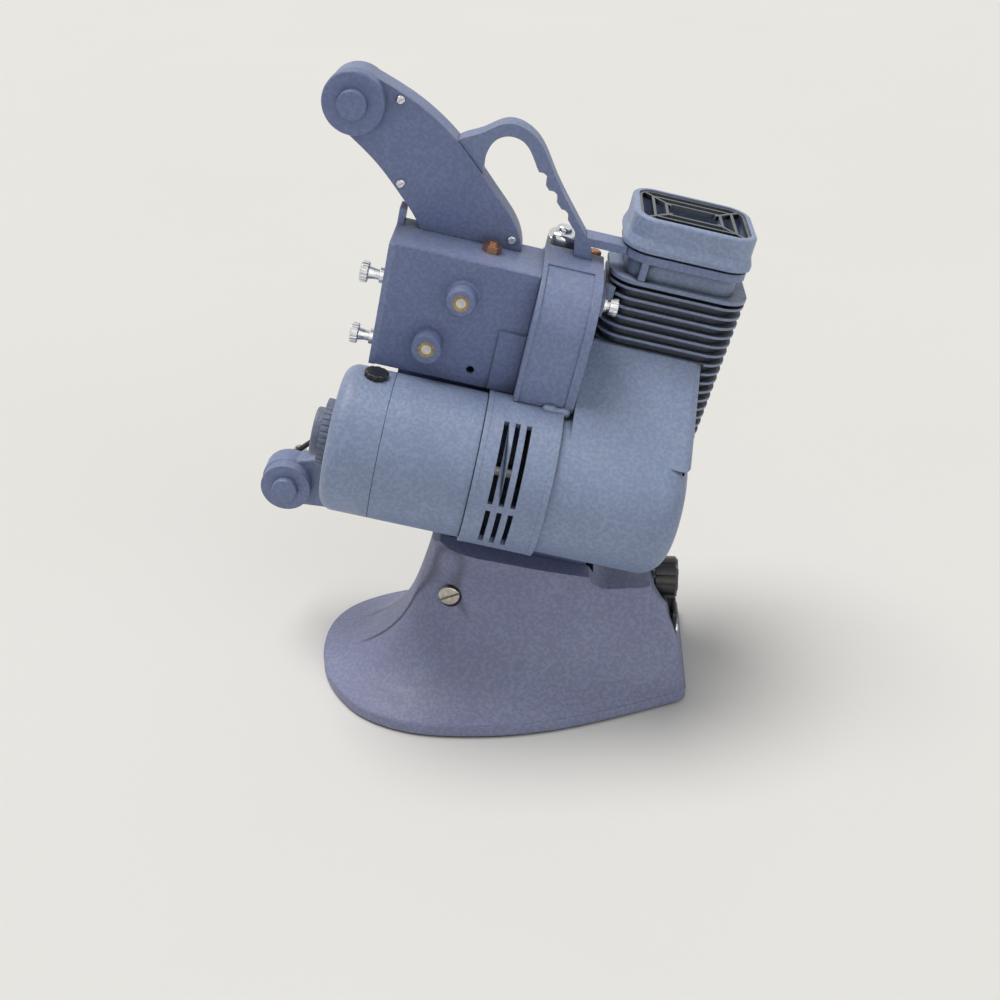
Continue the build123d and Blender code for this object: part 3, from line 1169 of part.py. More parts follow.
def reel_spindle_profile(near, pulley, pin_base):
    """Half profile along y: shaft from its near end, grooved pulley, shoulder and reel pin."""
    groove = SPINDLE_PULLEY_R - BELT_R - 0.1
    rim = SPINDLE_PULLEY_R + 1.4
    with BuildLine() as outline:
        Polyline((0, near), (3, near), (3, pulley - 2.4), (rim, pulley - 2.4), (rim, pulley - 1.7),
                 (groove, pulley - 1.5), (groove, pulley + 1.5), (rim, pulley + 1.7), (rim, pulley + 2.4),
                 (3, pulley + 2.4), (3, pin_base), (6, pin_base), (6, pin_base + 1.5),
                 (REEL_PIN_R, pin_base + 1.5), (REEL_PIN_R, pin_base + REEL_PIN_L),
                 (REEL_PIN_R - 1, pin_base + REEL_PIN_L + 1), (0, pin_base + REEL_PIN_L + 1), (0, near))
    make_face(outline.edges())


with BuildPart() as supply_spindle:
    with BuildSketch(Plane(origin=HEAD.from_local_coords((SUPPLY_AXIS[0], 0, SUPPLY_AXIS[1])), x_dir=HEAD.x_dir,
                           z_dir=HEAD.z_dir)):
        reel_spindle_profile(10.5, ARM_BELT_Y, ARM_FAR + 0.2)
    revolve(axis=head_axis(SUPPLY_AXIS[0], 0, SUPPLY_AXIS[1], "y"))
    with BuildSketch(side(ARM_FAR + 0.2 + REEL_PIN_L - 2)):
        with Locations(SUPPLY_AXIS):
            with PolarLocations(REEL_PIN_R, 3):
                Rectangle(1.6, 1.2)
    extrude(amount=9, mode=Mode.SUBTRACT)
supply_spindle.part.label = "supply_spindle"
export_step(supply_spindle.part, "parts/supply_spindle.step")

# Lower reel arm, one solid casting fixed to the web's front edge
with BuildPart() as lower_arm:
    with BuildSketch(side(LOWER_ARM_FAR)):
        with BuildLine():
            u, w = TAKEUP_AXIS
            end = ThreePointArc((u + 3, w + LOWER_END_R - 0.33), (u - LOWER_END_R, w), (u + 3, w + 0.33 - LOWER_END_R))
            Polyline(end @ 1, (-62, 9.5), (WEB_FRONT - 0.1, 14), (WEB_FRONT - 0.1, 56), (-66, 44), end @ 0)
        make_face()
    extrude(amount=LOWER_ARM_FAR - ARM_NEAR)
    fillet(faces().sort_by(Axis.Y)[0].edges().sort_by(Axis.X)[:4], 1.5)
    with BuildSketch(side(ARM_NEAR)):
        with Locations(TAKEUP_AXIS):
            Circle(LOWER_END_R - 0.8)
    extrude(amount=ARM_NEAR - BOSS_NEAR)
    with BuildSketch(side(BOSS_NEAR)):
        with Locations(TAKEUP_AXIS):
            Circle(BOSS_CAP_R)
    extrude(amount=BOSS_NEAR - BOSS_CAP_NEAR)
    fillet(faces().sort_by(Axis.Y)[0].edges(), 1)
    with BuildSketch(side(LOWER_ARM_FAR)):
        with Locations(TAKEUP_AXIS):
            Circle(3 + RUN)
    extrude(amount=14, mode=Mode.SUBTRACT)
lower_arm.part.label = "lower_arm"
export_step(lower_arm.part, "parts/lower_arm.step")

with BuildPart() as takeup_spindle:
    with BuildSketch(Plane(origin=HEAD.from_local_coords((TAKEUP_AXIS[0], 0, TAKEUP_AXIS[1])), x_dir=HEAD.x_dir,
                           z_dir=HEAD.z_dir)):
        reel_spindle_profile(12.5, TAKEUP_BELT_Y, TAKEUP_BELT_Y + 2.9)
    revolve(axis=head_axis(TAKEUP_AXIS[0], 0, TAKEUP_AXIS[1], "y"))
    with BuildSketch(side(TAKEUP_BELT_Y + 2.9 + REEL_PIN_L - 2)):
        with Locations(TAKEUP_AXIS):
            with PolarLocations(REEL_PIN_R, 3):
                Rectangle(1.6, 1.2)
    extrude(amount=9, mode=Mode.SUBTRACT)
takeup_spindle.part.label = "takeup_spindle"
export_step(takeup_spindle.part, "parts/takeup_spindle.step")

with BuildPart() as takeup_belt:
    with BuildSketch(side(TAKEUP_BELT_Y + BELT_R)):
        belt_outline(TAKEUP_AXIS, SPINDLE_PULLEY_R + BELT_R, LOWER_AXIS, SPINDLE_PULLEY_R + BELT_R)
        belt_outline(TAKEUP_AXIS, SPINDLE_PULLEY_R - BELT_R, LOWER_AXIS, SPINDLE_PULLEY_R - BELT_R, Mode.SUBTRACT)
    extrude(amount=2 * BELT_R)
    chamfer(edges(), 0.85)
takeup_belt.part.label = "takeup_belt"
export_step(takeup_belt.part, "parts/takeup_belt.step")

# Carrying handle with finger scallops, and its strap round the lamphouse neck
with BuildPart() as carrying_handle:
    with BuildSketch(side(HANDLE_FAR)):
        with BuildLine():
            outer = Spline((-46, 215), (-42, 220.2), (-33.4, 225), (-22, 232.2), (-9.2, 229.6), (3.9, 214.4),
                           (17.8, 197.4), (27, 187))
            foot = Polyline(outer @ 1, (31, SHOULDER_TOP + 0.1), (22, SHOULDER_TOP + 0.1), (20, 189.5))
            inner = Spline(foot @ 1, (10, 200), (-4.4, 215.2), (-13.2, 225.6), (-20.5, 226.6), (-26, 223.4),
                           (-28.5, 218), (-28, 204))
            Polyline(inner @ 1, (-40, 204), outer @ 0)
        make_face()
        with Locations((11.5, 195.5), (4.5, 203), (-2, 210.3)):
            Circle(3.6, mode=Mode.SUBTRACT)
    extrude(amount=HANDLE_FAR - HANDLE_NEAR)
    with BuildSketch(side(HANDLE_FAR + 2, RUN, RUN)):
        upper_arm_outline()
    extrude(amount=HANDLE_FAR - HANDLE_NEAR + 4, mode=Mode.SUBTRACT)
    with BuildSketch(level(STRAP_W - STRAP_H)):
        block(26, CAP_FRONT + 1, HANDLE_NEAR, HANDLE_FAR)
        neck_outline(NECK_INSET - SEAT - STRAP_T)
        neck_outline(NECK_INSET - SEAT, Mode.SUBTRACT)
    extrude(amount=STRAP_H)
    with BuildSketch(level(COLLAR_W + 0.1)):
        block(54, 57.4, CAP_NEAR - 0.3, CAP_NEAR + NECK_INSET - 0.3)
    extrude(amount=STRAP_W - STRAP_H - COLLAR_W)
    with BuildSketch(side(HANDLE_FAR + 1)):
        block(16, 31.5, CASE_TOP - 20, SHOULDER_TOP + 0.1)
    extrude(amount=HANDLE_FAR - HANDLE_NEAR + 2, mode=Mode.SUBTRACT)
carrying_handle.part.label = "carrying_handle"
export_step(carrying_handle.part, "parts/carrying_handle.step")

# Gear train: tooth phases follow the lines between the axes
tooth = 360 / GEAR_TEETH
middle_phase = bearing(MIDDLE_AXIS, UPPER_AXIS)
upper_phase = bearing(UPPER_AXIS, MIDDLE_AXIS) + tooth / 2
offset_angle = (bearing(MIDDLE_AXIS, LOWER_AXIS) - middle_phase) % tooth
lower_phase = bearing(LOWER_AXIS, MIDDLE_AXIS) + offset_angle + tooth / 2


with BuildPart() as upper_gear_shaft:
    with BuildSketch(side(GEAR_Y + GEAR_T)):
        with Locations(UPPER_AXIS):
            gear_outline(GEAR_TEETH, GEAR_R, upper_phase)
    extrude(amount=GEAR_T)
    for near, far, radius in ((BOSS_TIP_Y, FILM_FAR + 2, ARBOR_R), (CASE_FAR + 0.2, FILM_NEAR, 4.5),
                              (FILM_NEAR, FILM_NEAR + 1, SPROCKET_R + 1.2), (FILM_NEAR + 1, FILM_NEAR + 3, SPROCKET_R),
                              (FILM_NEAR + 3, FILM_FAR - 1.5, SPROCKET_R - 1), (FILM_FAR - 1.5, FILM_FAR, SPROCKET_R)):
        with BuildSketch(side(far)):
            with Locations(UPPER_AXIS):
                Circle(radius)
        extrude(amount=far - near)
    with BuildSketch(side(FILM_NEAR + 2.4)):
        with Locations(UPPER_AXIS):
            with PolarLocations(SPROCKET_R, SPROCKET_TEETH):
                Rectangle(1.6, 0.9)
    extrude(amount=1)
upper_gear_shaft.part.label = "upper_gear_shaft"
export_step(upper_gear_shaft.part, "parts/upper_gear_shaft.step")

with BuildPart() as middle_gear_shaft:
    with BuildSketch(side(GEAR_Y + GEAR_T)):
        with Locations(MIDDLE_AXIS):
            gear_outline(GEAR_TEETH, GEAR_R, middle_phase)
    extrude(amount=GEAR_T)
    with BuildSketch(side(interior_far - 0.2)):
        with Locations(MIDDLE_AXIS):
            Circle(ARBOR_R)
    extrude(amount=interior_far - 0.2 - BOSS_TIP_Y)
    with BuildSketch(side(SHUTTER_Y + 2.5)):
        with Locations(MIDDLE_AXIS):
            Circle(4.9)
            with PolarLocations(5.1, 16):
                Circle(0.5, mode=Mode.SUBTRACT)
    extrude(amount=5)
middle_gear_shaft.part.label = "middle_gear_shaft"
export_step(middle_gear_shaft.part, "parts/middle_gear_shaft.step")

with BuildPart() as lower_gear_shaft:
    with BuildSketch(side(GEAR_Y + GEAR_T)):
        with Locations(LOWER_AXIS):
            gear_outline(GEAR_TEETH, GEAR_R, lower_phase)
    extrude(amount=GEAR_T)
    for near, far, radius in ((POCKET_NEAR + 0.2, FILM_FAR + 2, ARBOR_R), (CASE_FAR + 0.2, TAKEUP_BELT_Y - 1.6, 8.4),
                              (TAKEUP_BELT_Y - 1.6, TAKEUP_BELT_Y + 1.6, SPINDLE_PULLEY_R - BELT_R - 0.1),
                              (TAKEUP_BELT_Y + 1.6, TAKEUP_BELT_Y + 2.4, 8.4), (TAKEUP_BELT_Y + 2.4, FILM_NEAR, 4.5),
                              (FILM_NEAR, FILM_NEAR + 1, SPROCKET_R + 1.2), (FILM_NEAR + 1, FILM_NEAR + 3, SPROCKET_R),
                              (FILM_NEAR + 3, FILM_FAR - 1.5, SPROCKET_R - 1), (FILM_FAR - 1.5, FILM_FAR, SPROCKET_R)):
        with BuildSketch(side(far)):
            with Locations(LOWER_AXIS):
                Circle(radius)
        extrude(amount=far - near)
    with BuildSketch(side(FILM_NEAR + 2.4)):
        with Locations(LOWER_AXIS):
            with PolarLocations(SPROCKET_R, SPROCKET_TEETH):
                Rectangle(1.6, 0.9)
    extrude(amount=1)
lower_gear_shaft.part.label = "lower_gear_shaft"
export_step(lower_gear_shaft.part, "parts/lower_gear_shaft.step")

# Shutter on its shaft with the worm, and the countershaft that drives it
with BuildPart() as shutter:
    with BuildSketch(across(SHUTTER_U, SHUTTER_Y, OPTIC_W)):
        Circle(SHUTTER_R)
        with PolarLocations(13.6, 3):
            block(-6, 8, -9, 9, corner=2, mode=Mode.SUBTRACT)
        Circle(5)
        Circle(2, mode=Mode.SUBTRACT)
    extrude(amount=1.2)
shutter.part.label = "shutter"
export_step(shutter.part, "parts/shutter.step")

with BuildPart() as shutter_shaft:
    for rear, front, radius in ((BELT_U - 3.2, CASE_FRONT + 3.2, 2), (MIDDLE_AXIS[0] + 7.2, MIDDLE_AXIS[0] - 6.8, 2.4),
                                (BELT_U - 5.4, SHUTTER_U + 1.2, 3.6)):
        with BuildSketch(across(front, SHUTTER_Y, OPTIC_W)):
            Circle(radius)
        extrude(amount=rear - front)
    with BuildSketch(across(BELT_U - 5.4, SHUTTER_Y, OPTIC_W)):
        gear_outline(14, 7, 0)
    extrude(amount=2.2)
shutter_shaft.part.label = "shutter_shaft"
export_step(shutter_shaft.part, "parts/shutter_shaft.step")

counter_phase = degrees(atan2(OPTIC_W - COUNTER_W, SHUTTER_Y - COUNTER_Y))
counter_offset = (counter_phase + 180) % (360 / 14)
with BuildPart() as countershaft:
    with BuildSketch(across(BELT_U - 5.4, COUNTER_Y, COUNTER_W)):
        Circle(ARBOR_R)
    extrude(amount=SHOULDER_BACK - CASE_WALL - BELT_U + 3.4)
    with BuildSketch(across(BELT_U - 5.4, COUNTER_Y, COUNTER_W)):
        gear_outline(14, 7, counter_phase + counter_offset + 180 / 14)
    extrude(amount=2.2)
    for front, rear, radius in ((-2.4, -1.6, COUNTER_R + 0.9), (-1.6, 1.6, COUNTER_R - BELT_R - 0.1),
                                (1.6, 2.4, COUNTER_R + 0.9)):
        with BuildSketch(across(BELT_U + front, COUNTER_Y, COUNTER_W)):
            Circle(radius)
        extrude(amount=rear - front)
countershaft.part.label = "countershaft"
export_step(countershaft.part, "parts/countershaft.step")

# Film gate, sprung pressure gate, claw
with BuildPart() as film_gate:
    with BuildSketch(across(GATE_U, 0, OPTIC_W)):
        block(CASE_FAR + 0.1, OPTIC_Y + 9, -13, 13, corner=1.5)
        block(OPTIC_Y - 2.6, OPTIC_Y + 2.6, -1.9, 1.9, mode=Mode.SUBTRACT)
        block(CLAW_Y - 1, CLAW_Y + 1, -12, -5, mode=Mode.SUBTRACT)
    extrude(amount=1.8)
film_gate.part.label = "film_gate"
export_step(film_gate.part, "parts/film_gate.step")

with BuildPart() as pressure_gate:
    with BuildSketch(across(GATE_U - 2.6, OPTIC_Y, OPTIC_W)):
        block(-5.5, 8, -10, 10, corner=1.5)
        block(-3.2, 3.2, -2.6, 2.6, mode=Mode.SUBTRACT)
        block(CLAW_Y - OPTIC_Y - 0.8, CLAW_Y - OPTIC_Y + 0.8, -11, -5, mode=Mode.SUBTRACT)
    extrude(amount=2.3)
pressure_gate.part.label = "pressure_gate"
export_step(pressure_gate.part, "parts/pressure_gate.step")

with BuildPart() as claw:
    with BuildSketch(across(GATE_U + 2.4, 0, OPTIC_W)):
        block(interior_far - 0.5, CLAW_Y + 2, -12.5, -3.8)
    extrude(amount=3)
    with BuildSketch(across(GATE_U - 0.6, 0, OPTIC_W)):
        block(CLAW_Y - 0.5, CLAW_Y + 0.5, -11, -9.8)
    extrude(amount=3.4)
claw.part.label = "claw"
export_step(claw.part, "parts/claw.step")

# Lens holder on the case's far wall, barrel and lens
with BuildPart() as lens_holder:
    with BuildSketch(across(HOLDER_FRONT, 0, OPTIC_W)):
        block(CASE_FAR + 0.1, OPTIC_Y + BARREL_R + 2.5, -BARREL_R - 1.5, BARREL_R + 1.5, corner=2)
        with Locations((OPTIC_Y, 0)):
            Circle(BARREL_R + RUN, mode=Mode.SUBTRACT)
    extrude(amount=HOLDER_REAR - HOLDER_FRONT)
lens_holder.part.label = "lens_holder"
export_step(lens_holder.part, "parts/lens_holder.step")

with BuildPart() as lens_barrel:
    with BuildSketch(across(BARREL_FRONT + 4, OPTIC_Y, OPTIC_W)):
        Circle(BARREL_R)
        Circle(BARREL_R - 2.2, mode=Mode.SUBTRACT)
    extrude(amount=BARREL_REAR - 4 - BARREL_FRONT)
    with BuildSketch(across(BARREL_FRONT, OPTIC_Y, OPTIC_W)):
        Circle(BARREL_R + 1)
        with PolarLocations(BARREL_R + 1.3, 32):
            Circle(0.6, mode=Mode.SUBTRACT)
        Circle(BARREL_R - 2.2, mode=Mode.SUBTRACT)
    extrude(amount=8)
lens_barrel.part.label = "lens_barrel"
export_step(lens_barrel.part, "parts/lens_barrel.step")

with BuildPart() as lens_glass:
    with BuildSketch(across(BARREL_FRONT + 3, OPTIC_Y, OPTIC_W)):
        Circle(BARREL_R - 2.25)
    extrude(amount=4)
    with BuildSketch(across(BARREL_REAR - 6, OPTIC_Y, OPTIC_W)):
        Circle(BARREL_R - 2.25)
    extrude(amount=3)
lens_glass.part.label = "lens_glass"
export_step(lens_glass.part, "parts/lens_glass.step")


def guard_outline(axis, pivot, start, end):
    """Curved film guard round a sprocket, joined to its pivot."""
    u, w = axis
    inner = SPROCKET_R + 2
    outer = SPROCKET_R + 3.4
    middle = (start + end) / 2
    with BuildLine() as outline:
        a = ThreePointArc(*[(u + inner * cos(radians(t)), w + inner * sin(radians(t))) for t in (start, middle, end)])
        b = ThreePointArc(*[(u + outer * cos(radians(t)), w + outer * sin(radians(t))) for t in (start, middle, end)])
        Line(a @ 0, b @ 0)
        Line(a @ 1, b @ 1)
    make_face(outline.edges())
    with Locations(pivot):
        Circle(2.6)


with BuildPart() as upper_film_guard:
    with BuildSketch(side(FILM_FAR)):
        guard_outline(UPPER_AXIS, UPPER_GUARD, 60, 170)
    extrude(amount=FILM_FAR - FILM_NEAR - 1)
    with BuildSketch(side(FILM_FAR + 1)):
        with Locations(UPPER_GUARD):
            Circle(1.8)
    extrude(amount=FILM_FAR + 1 - CASE_FAR - 0.1)
upper_film_guard.part.label = "upper_film_guard"
export_step(upper_film_guard.part, "parts/upper_film_guard.step")

with BuildPart() as lower_film_guard:
    with BuildSketch(side(FILM_FAR)):
        guard_outline(LOWER_AXIS, LOWER_GUARD, -110, -12)
    extrude(amount=FILM_FAR - FILM_NEAR - 1)
    with BuildSketch(side(FILM_FAR + 1)):
        with Locations(LOWER_GUARD):
            Circle(1.8)
    extrude(amount=FILM_FAR + 1 - CASE_FAR - 0.1)
lower_film_guard.part.label = "lower_film_guard"
export_step(lower_film_guard.part, "parts/lower_film_guard.step")

# Small domed pilot lamp and amber clamp knob on the far shelf
with BuildPart() as pilot_lamp:
    with BuildSketch(level(170, 16, 36)):
        Circle(7.5)
    extrude(amount=13)
    fillet(faces().sort_by(Axis(HEAD.origin, HEAD.z_dir))[-1].edges(), 3)
    with BuildSketch(level(183, 16, 36)):
        Circle(4)
    extrude(amount=2.6)
    fillet(faces().sort_by(Axis(HEAD.origin, HEAD.z_dir))[-1].edges(), 1.6)
pilot_lamp.part.label = "pilot_lamp"
export_step(pilot_lamp.part, "parts/pilot_lamp.step")

with BuildPart() as clamp_knob:
    with BuildSketch(level(170, 33, 36)):
        Circle(3.5)
    extrude(amount=7)
    fillet(faces().sort_by(Axis(HEAD.origin, HEAD.z_dir))[-1].edges(), 1.5)
clamp_knob.part.label = "clamp_knob"
export_step(clamp_knob.part, "parts/clamp_knob.step")
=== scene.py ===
"""Looks of a small eight-millimetre movie projector on a tilting cast base.

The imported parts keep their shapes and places, and this file gives each one its finish: crinkled
blue-grey enamel, plated screws, bronze bushes, moulded plastic, steel, felt and glass. It builds in mesh
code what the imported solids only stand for: the round belts, the ground lens elements, the glass lamp
with its filament, and the plated pins of the power inlet.

Everything is in metres, +Z up, the lens towards -X and the drive side towards -Y.
"""
from __future__ import annotations

import logging
import math
from collections.abc import Sequence
from dataclasses import dataclass, field
from enum import Enum
from functools import cache
from typing import ClassVar

import bmesh
import bpy
from mathutils import Matrix, Vector


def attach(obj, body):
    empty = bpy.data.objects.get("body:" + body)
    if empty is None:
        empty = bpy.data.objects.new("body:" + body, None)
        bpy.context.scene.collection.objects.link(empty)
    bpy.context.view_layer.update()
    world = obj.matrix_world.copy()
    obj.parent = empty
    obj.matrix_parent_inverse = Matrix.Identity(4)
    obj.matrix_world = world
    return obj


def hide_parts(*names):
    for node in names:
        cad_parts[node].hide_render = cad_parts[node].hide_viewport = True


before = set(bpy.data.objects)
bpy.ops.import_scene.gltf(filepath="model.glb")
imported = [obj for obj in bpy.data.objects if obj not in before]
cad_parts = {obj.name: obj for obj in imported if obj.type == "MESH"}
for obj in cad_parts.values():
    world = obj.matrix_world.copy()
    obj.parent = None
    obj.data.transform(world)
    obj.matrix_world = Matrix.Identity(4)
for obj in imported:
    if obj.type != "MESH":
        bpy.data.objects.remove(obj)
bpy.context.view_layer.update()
LOG = logging.getLogger("projector")

Colour = tuple[float, float, float]
Socket = bpy.types.NodeSocket

NOSE_UP = math.radians(12)


class HeadAxis(Enum):
    """Directions of the tilted head: back along the motor, across it, and up through the lamphouse."""

    BACK = (math.cos(NOSE_UP), 0.0, -math.sin(NOSE_UP))
    ACROSS = (0.0, 1.0, 0.0)
    UP = (math.sin(NOSE_UP), 0.0, math.cos(NOSE_UP))

    @property
    def vector(self) -> Vector:
        """Direction as a vector."""
        return Vector(self.value)


PIVOT = Vector((-0.026, 0.0, 0.055))
PIVOT_RISE = 0.0484
OPTIC_ACROSS = 0.037
OPTIC_UP = 0.1385
JOIN_DISTANCE = 1e-6
ON_AXIS = 1e-7
OFF_LINE = Vector((0.123, 0.456, 0.789))


def head_point(back: float, across: float, up: float) -> Vector:
    """Turns a place on the head into the shared frame.

    Args:
        back: Distance behind the pivot along the motor.
        across: Distance towards the film side.
        up: Distance above the pivot, square to the motor.

    Returns:
        The point in the shared frame.
    """
    return PIVOT + back * HeadAxis.BACK.vector + across * HeadAxis.ACROSS.vector + up * HeadAxis.UP.vector


class Graph:
    """A node tree that is written one node at a time."""

    def __init__(self, tree: bpy.types.NodeTree) -> None:
        """Starts on a tree, new or empty."""
        self.tree = tree

    def node(self, kind: str, **settings: object) -> bpy.types.Node:
        """Adds a node.

        Args:
            kind: Node type without its "ShaderNode" beginning.
            settings: Properties of the node.

        Returns:
            The new node.
        """
        node = self.tree.nodes.new("ShaderNode" + kind)
        for key, value in settings.items():
            setattr(node, key, value)
        return node

    def feed(self, socket: Socket, value: object) -> None:
        """Links a socket's value, or sets it where it is a plain number or colour.

        Args:
            socket: The input to fill.
            value: Another node's output, a number, a colour, a vector, or None to leave the input alone.
        """
        if isinstance(value, bpy.types.NodeSocket):
            self.tree.links.new(value, socket)
        elif value is not None:
            wide = socket.type == "RGBA" and len(value) == 3
            socket.default_value = (*value, 1.0) if wide else value

    def math(self, operation: str, *values: object) -> Socket:
        """Works one step of arithmetic.

        Args:
            operation: What the Math node does.
            values: What goes into it, in order.

        Returns:
            Its result.
        """
        node = self.node("Math", operation=operation)
        for socket, value in zip(node.inputs, values):
            self.feed(socket, value)
        return node.outputs[0]

    def dot(self, first: object, second: object) -> Socket:
        """Dot product of two vectors.

        Args:
            first: One vector.
            second: The other.

        Returns:
            Their dot product.
        """
        node = self.node("VectorMath", operation="DOT_PRODUCT")
        self.feed(node.inputs[0], first)
        self.feed(node.inputs[1], second)
        return node.outputs["Value"]

    def mix(self, share: object, first: object, second: object) -> Socket:
        """Mixes two colours.

        Args:
            share: How much of the second, from 0 to 1.
            first: The colour at 0.
            second: The colour at 1.

        Returns:
            The colour between them.
        """
        node = self.node("Mix", data_type="RGBA")
        for index, value in ((0, share), (6, first), (7, second)):
            self.feed(node.inputs[index], value)
        return node.outputs[2]

    def between(self, share: object, first: object, second: object) -> Socket:
        """Mixes two numbers.

        Args:
            share: How much of the second, from 0 to 1.
            first: The number at 0.
            second: The number at 1.

        Returns:
            The number between them.
        """
        node = self.node("Mix", data_type="FLOAT")
        for index, value in ((0, share), (2, first), (3, second)):
            self.feed(node.inputs[index], value)
        return node.outputs[0]

    def span(self, value: object, low: object, high: object, to_low: float = 0.0,
             to_high: float = 1.0) -> Socket:
        """Carries a value smoothly from one range to another and holds it inside.

        Args:
            value: The value.
            low: Start of its range.
            high: End of its range.
            to_low: Result at the start and before it.
            to_high: Result at the end and past it.

        Returns:
            The carried value.
        """
        node = self.node("MapRange", interpolation_type="SMOOTHSTEP")
        for socket, number in zip(node.inputs, (value, low, high, to_low, to_high)):
            self.feed(socket, number)
        return node.outputs[0]

    def noise(self, scale: object, detail: float = 2.0, roughness: float = 0.5,
              distortion: float = 0.0) -> Socket:
        """Noise over the piece's own surface.

        Args:
            scale: Cells per metre.
            detail: How many times it is added again, each time finer.
            roughness: Strength of the finer noise.
            distortion: How far it is bent.

        Returns:
            The noise, from 0 to 1.
        """
        node = self.node("TexNoise")
        self.feed(node.inputs["Vector"], self.place())
        self.feed(node.inputs["Scale"], scale)
        self.feed(node.inputs["Detail"], detail)
        self.feed(node.inputs["Roughness"], roughness)
        self.feed(node.inputs["Distortion"], distortion)
        return node.outputs[0]

    def place(self) -> Socket:
        """Place on the piece, in metres, which rides with it."""
        return self.node("TexCoord").outputs["Object"]

    def effect(self, tree: bpy.types.NodeTree, **values: object) -> bpy.types.Node:
        """Places a shared effect.

        Args:
            tree: The effect's node group.
            values: Its inputs by name, with underscores for spaces.

        Returns:
            The group node, whose outputs carry the effect.
        """
        node = self.node("Group", node_tree=tree)
        for name, value in values.items():
            self.feed(node.inputs[name.replace("_", " ")], value)
        return node


class Effects:
    """Shader node groups shared by the finishes, each built once."""

    @staticmethod
    def _group(name: str, inputs: Sequence[tuple[str, str, object]],
               outputs: Sequence[tuple[str, str]]) -> tuple[Graph, bpy.types.Node, bpy.types.Node]:
        """Starts a group with its sockets.

        Args:
            name: Name of the group.
            inputs: Name, kind ("Float", "Vector" or "Color") and default of each input.
            outputs: Name and kind of each output.

        Returns:
            The graph to write in, and the nodes that hold its inputs and outputs.
        """
        tree = bpy.data.node_groups.new(name, "ShaderNodeTree")
        for title, kind, default in inputs:
            socket = tree.interface.new_socket(title, in_out="INPUT", socket_type="NodeSocket" + kind)
            socket.default_value = default
        for title, kind in outputs:
            tree.interface.new_socket(title, in_out="OUTPUT", socket_type="NodeSocket" + kind)
        return Graph(tree), tree.nodes.new("NodeGroupInput"), tree.nodes.new("NodeGroupOutput")

    @classmethod
    @cache
    def grain(cls) -> bpy.types.NodeTree:
        """Crinkled skin of stoved enamel: its height, painted shade in its valleys, and a slow drift of its
        tone.

        Returns:
            The node group.
        """
        graph, given, made = cls._group("enamel grain", [("Cells per metre", "Float", 700.0)],
                                        [("Height", "Float"), ("Valley shade", "Float"), ("Drift", "Float")])
        cells = given.outputs[0]
        bumps = graph.node("TexVoronoi", feature="SMOOTH_F1")
        graph.feed(bumps.inputs["Vector"], graph.place())
        graph.feed(bumps.inputs["Scale"], cells)
        folds = graph.noise(graph.math("MULTIPLY", cells, 0.7), 3.0, 0.65)
        height = graph.between(0.5, bumps.outputs["Distance"], folds)
        graph.feed(made.inputs["Height"], height)
        graph.feed(made.inputs["Valley shade"], graph.span(height, 0.4, 0.56, 1.0, 0.0))
        slow = graph.noise(graph.math("MULTIPLY", cells, 0.03), 5.0, 0.6)
        graph.feed(made.inputs["Drift"], graph.span(slow, 0.3, 0.7))
        return graph.tree

    @classmethod
    @cache
    def edges(cls) -> bpy.types.NodeTree:
        """Rounded corners, the corners that hands rub, and how shut in each crevice is, from how little of
        the sky it sees: the enamels darken it as painted shade and grime, the metals tarnish it.

        Returns:
            The node group.
        """
        graph, given, made = cls._group(
            "edges and crevices",
            [("Radius", "Float", 0.0005), ("Reach", "Float", 0.006), ("Shut", "Float", 0.15),
             ("Open", "Float", 0.75)],
            [("Normal", "Vector"), ("Edge", "Float"), ("Crevice", "Float")])
        rounded = graph.node("Bevel", samples=4)
        graph.feed(rounded.inputs["Radius"], given.outputs["Radius"])
        true = graph.node("NewGeometry").outputs["Normal"]
        turn = graph.math("SUBTRACT", 1.0, graph.dot(rounded.outputs[0], true))
        sky = graph.node("AmbientOcclusion", samples=6)
        graph.feed(sky.inputs["Distance"], given.outputs["Reach"])
        open_sky = sky.outputs["AO"]
        graph.feed(made.inputs["Normal"], rounded.outputs[0])
        proud = graph.span(open_sky, 0.55, 0.85)
        graph.feed(made.inputs["Edge"], graph.math("MULTIPLY", graph.span(turn, 0.02, 0.2), proud))
        deep = graph.span(open_sky, given.outputs["Shut"], given.outputs["Open"], 1.0, 0.0)
        graph.feed(made.inputs["Crevice"], deep)
        return graph.tree

    @classmethod
    @cache
    def dust(cls) -> bpy.types.NodeTree:
        """Dust that has settled in patches on whatever faces up.

        Returns:
            The node group.
        """
        graph, given, made = cls._group("settled dust", [("Patches per metre", "Float", 70.0)],
                                        [("Mask", "Float")])
        normal = graph.node("NewGeometry").outputs["Normal"]
        up = graph.span(graph.dot(normal, (0.0, 0.0, 1.0)), 0.25, 0.95)
        patches = graph.span(graph.noise(given.outputs[0], 6.0, 0.7), 0.38, 0.72)
        graph.feed(made.inputs["Mask"], graph.math("MULTIPLY", up, patches))
        return graph.tree

    @classmethod
    @cache
    def turning(cls) -> bpy.types.NodeTree:
        """Fine rings that a lathe leaves round an axis.

        Returns:
            The node group.
        """
        graph, given, made = cls._group(
            "turned lines", [("Along", "Vector", (1.0, 0.0, 0.0)), ("Lines per metre", "Float", 4000.0)],
            [("Height", "Float")])
        rings = graph.node("TexNoise", noise_dimensions="1D")
        reach = graph.dot(graph.place(), given.outputs["Along"])
        graph.feed(rings.inputs["W"], graph.math("MULTIPLY", reach, given.outputs["Lines per metre"]))
        graph.feed(rings.inputs["Scale"], 1.0)
        graph.feed(rings.inputs["Detail"], 2.0)
        graph.feed(made.inputs["Height"], rings.outputs[0])
        return graph.tree

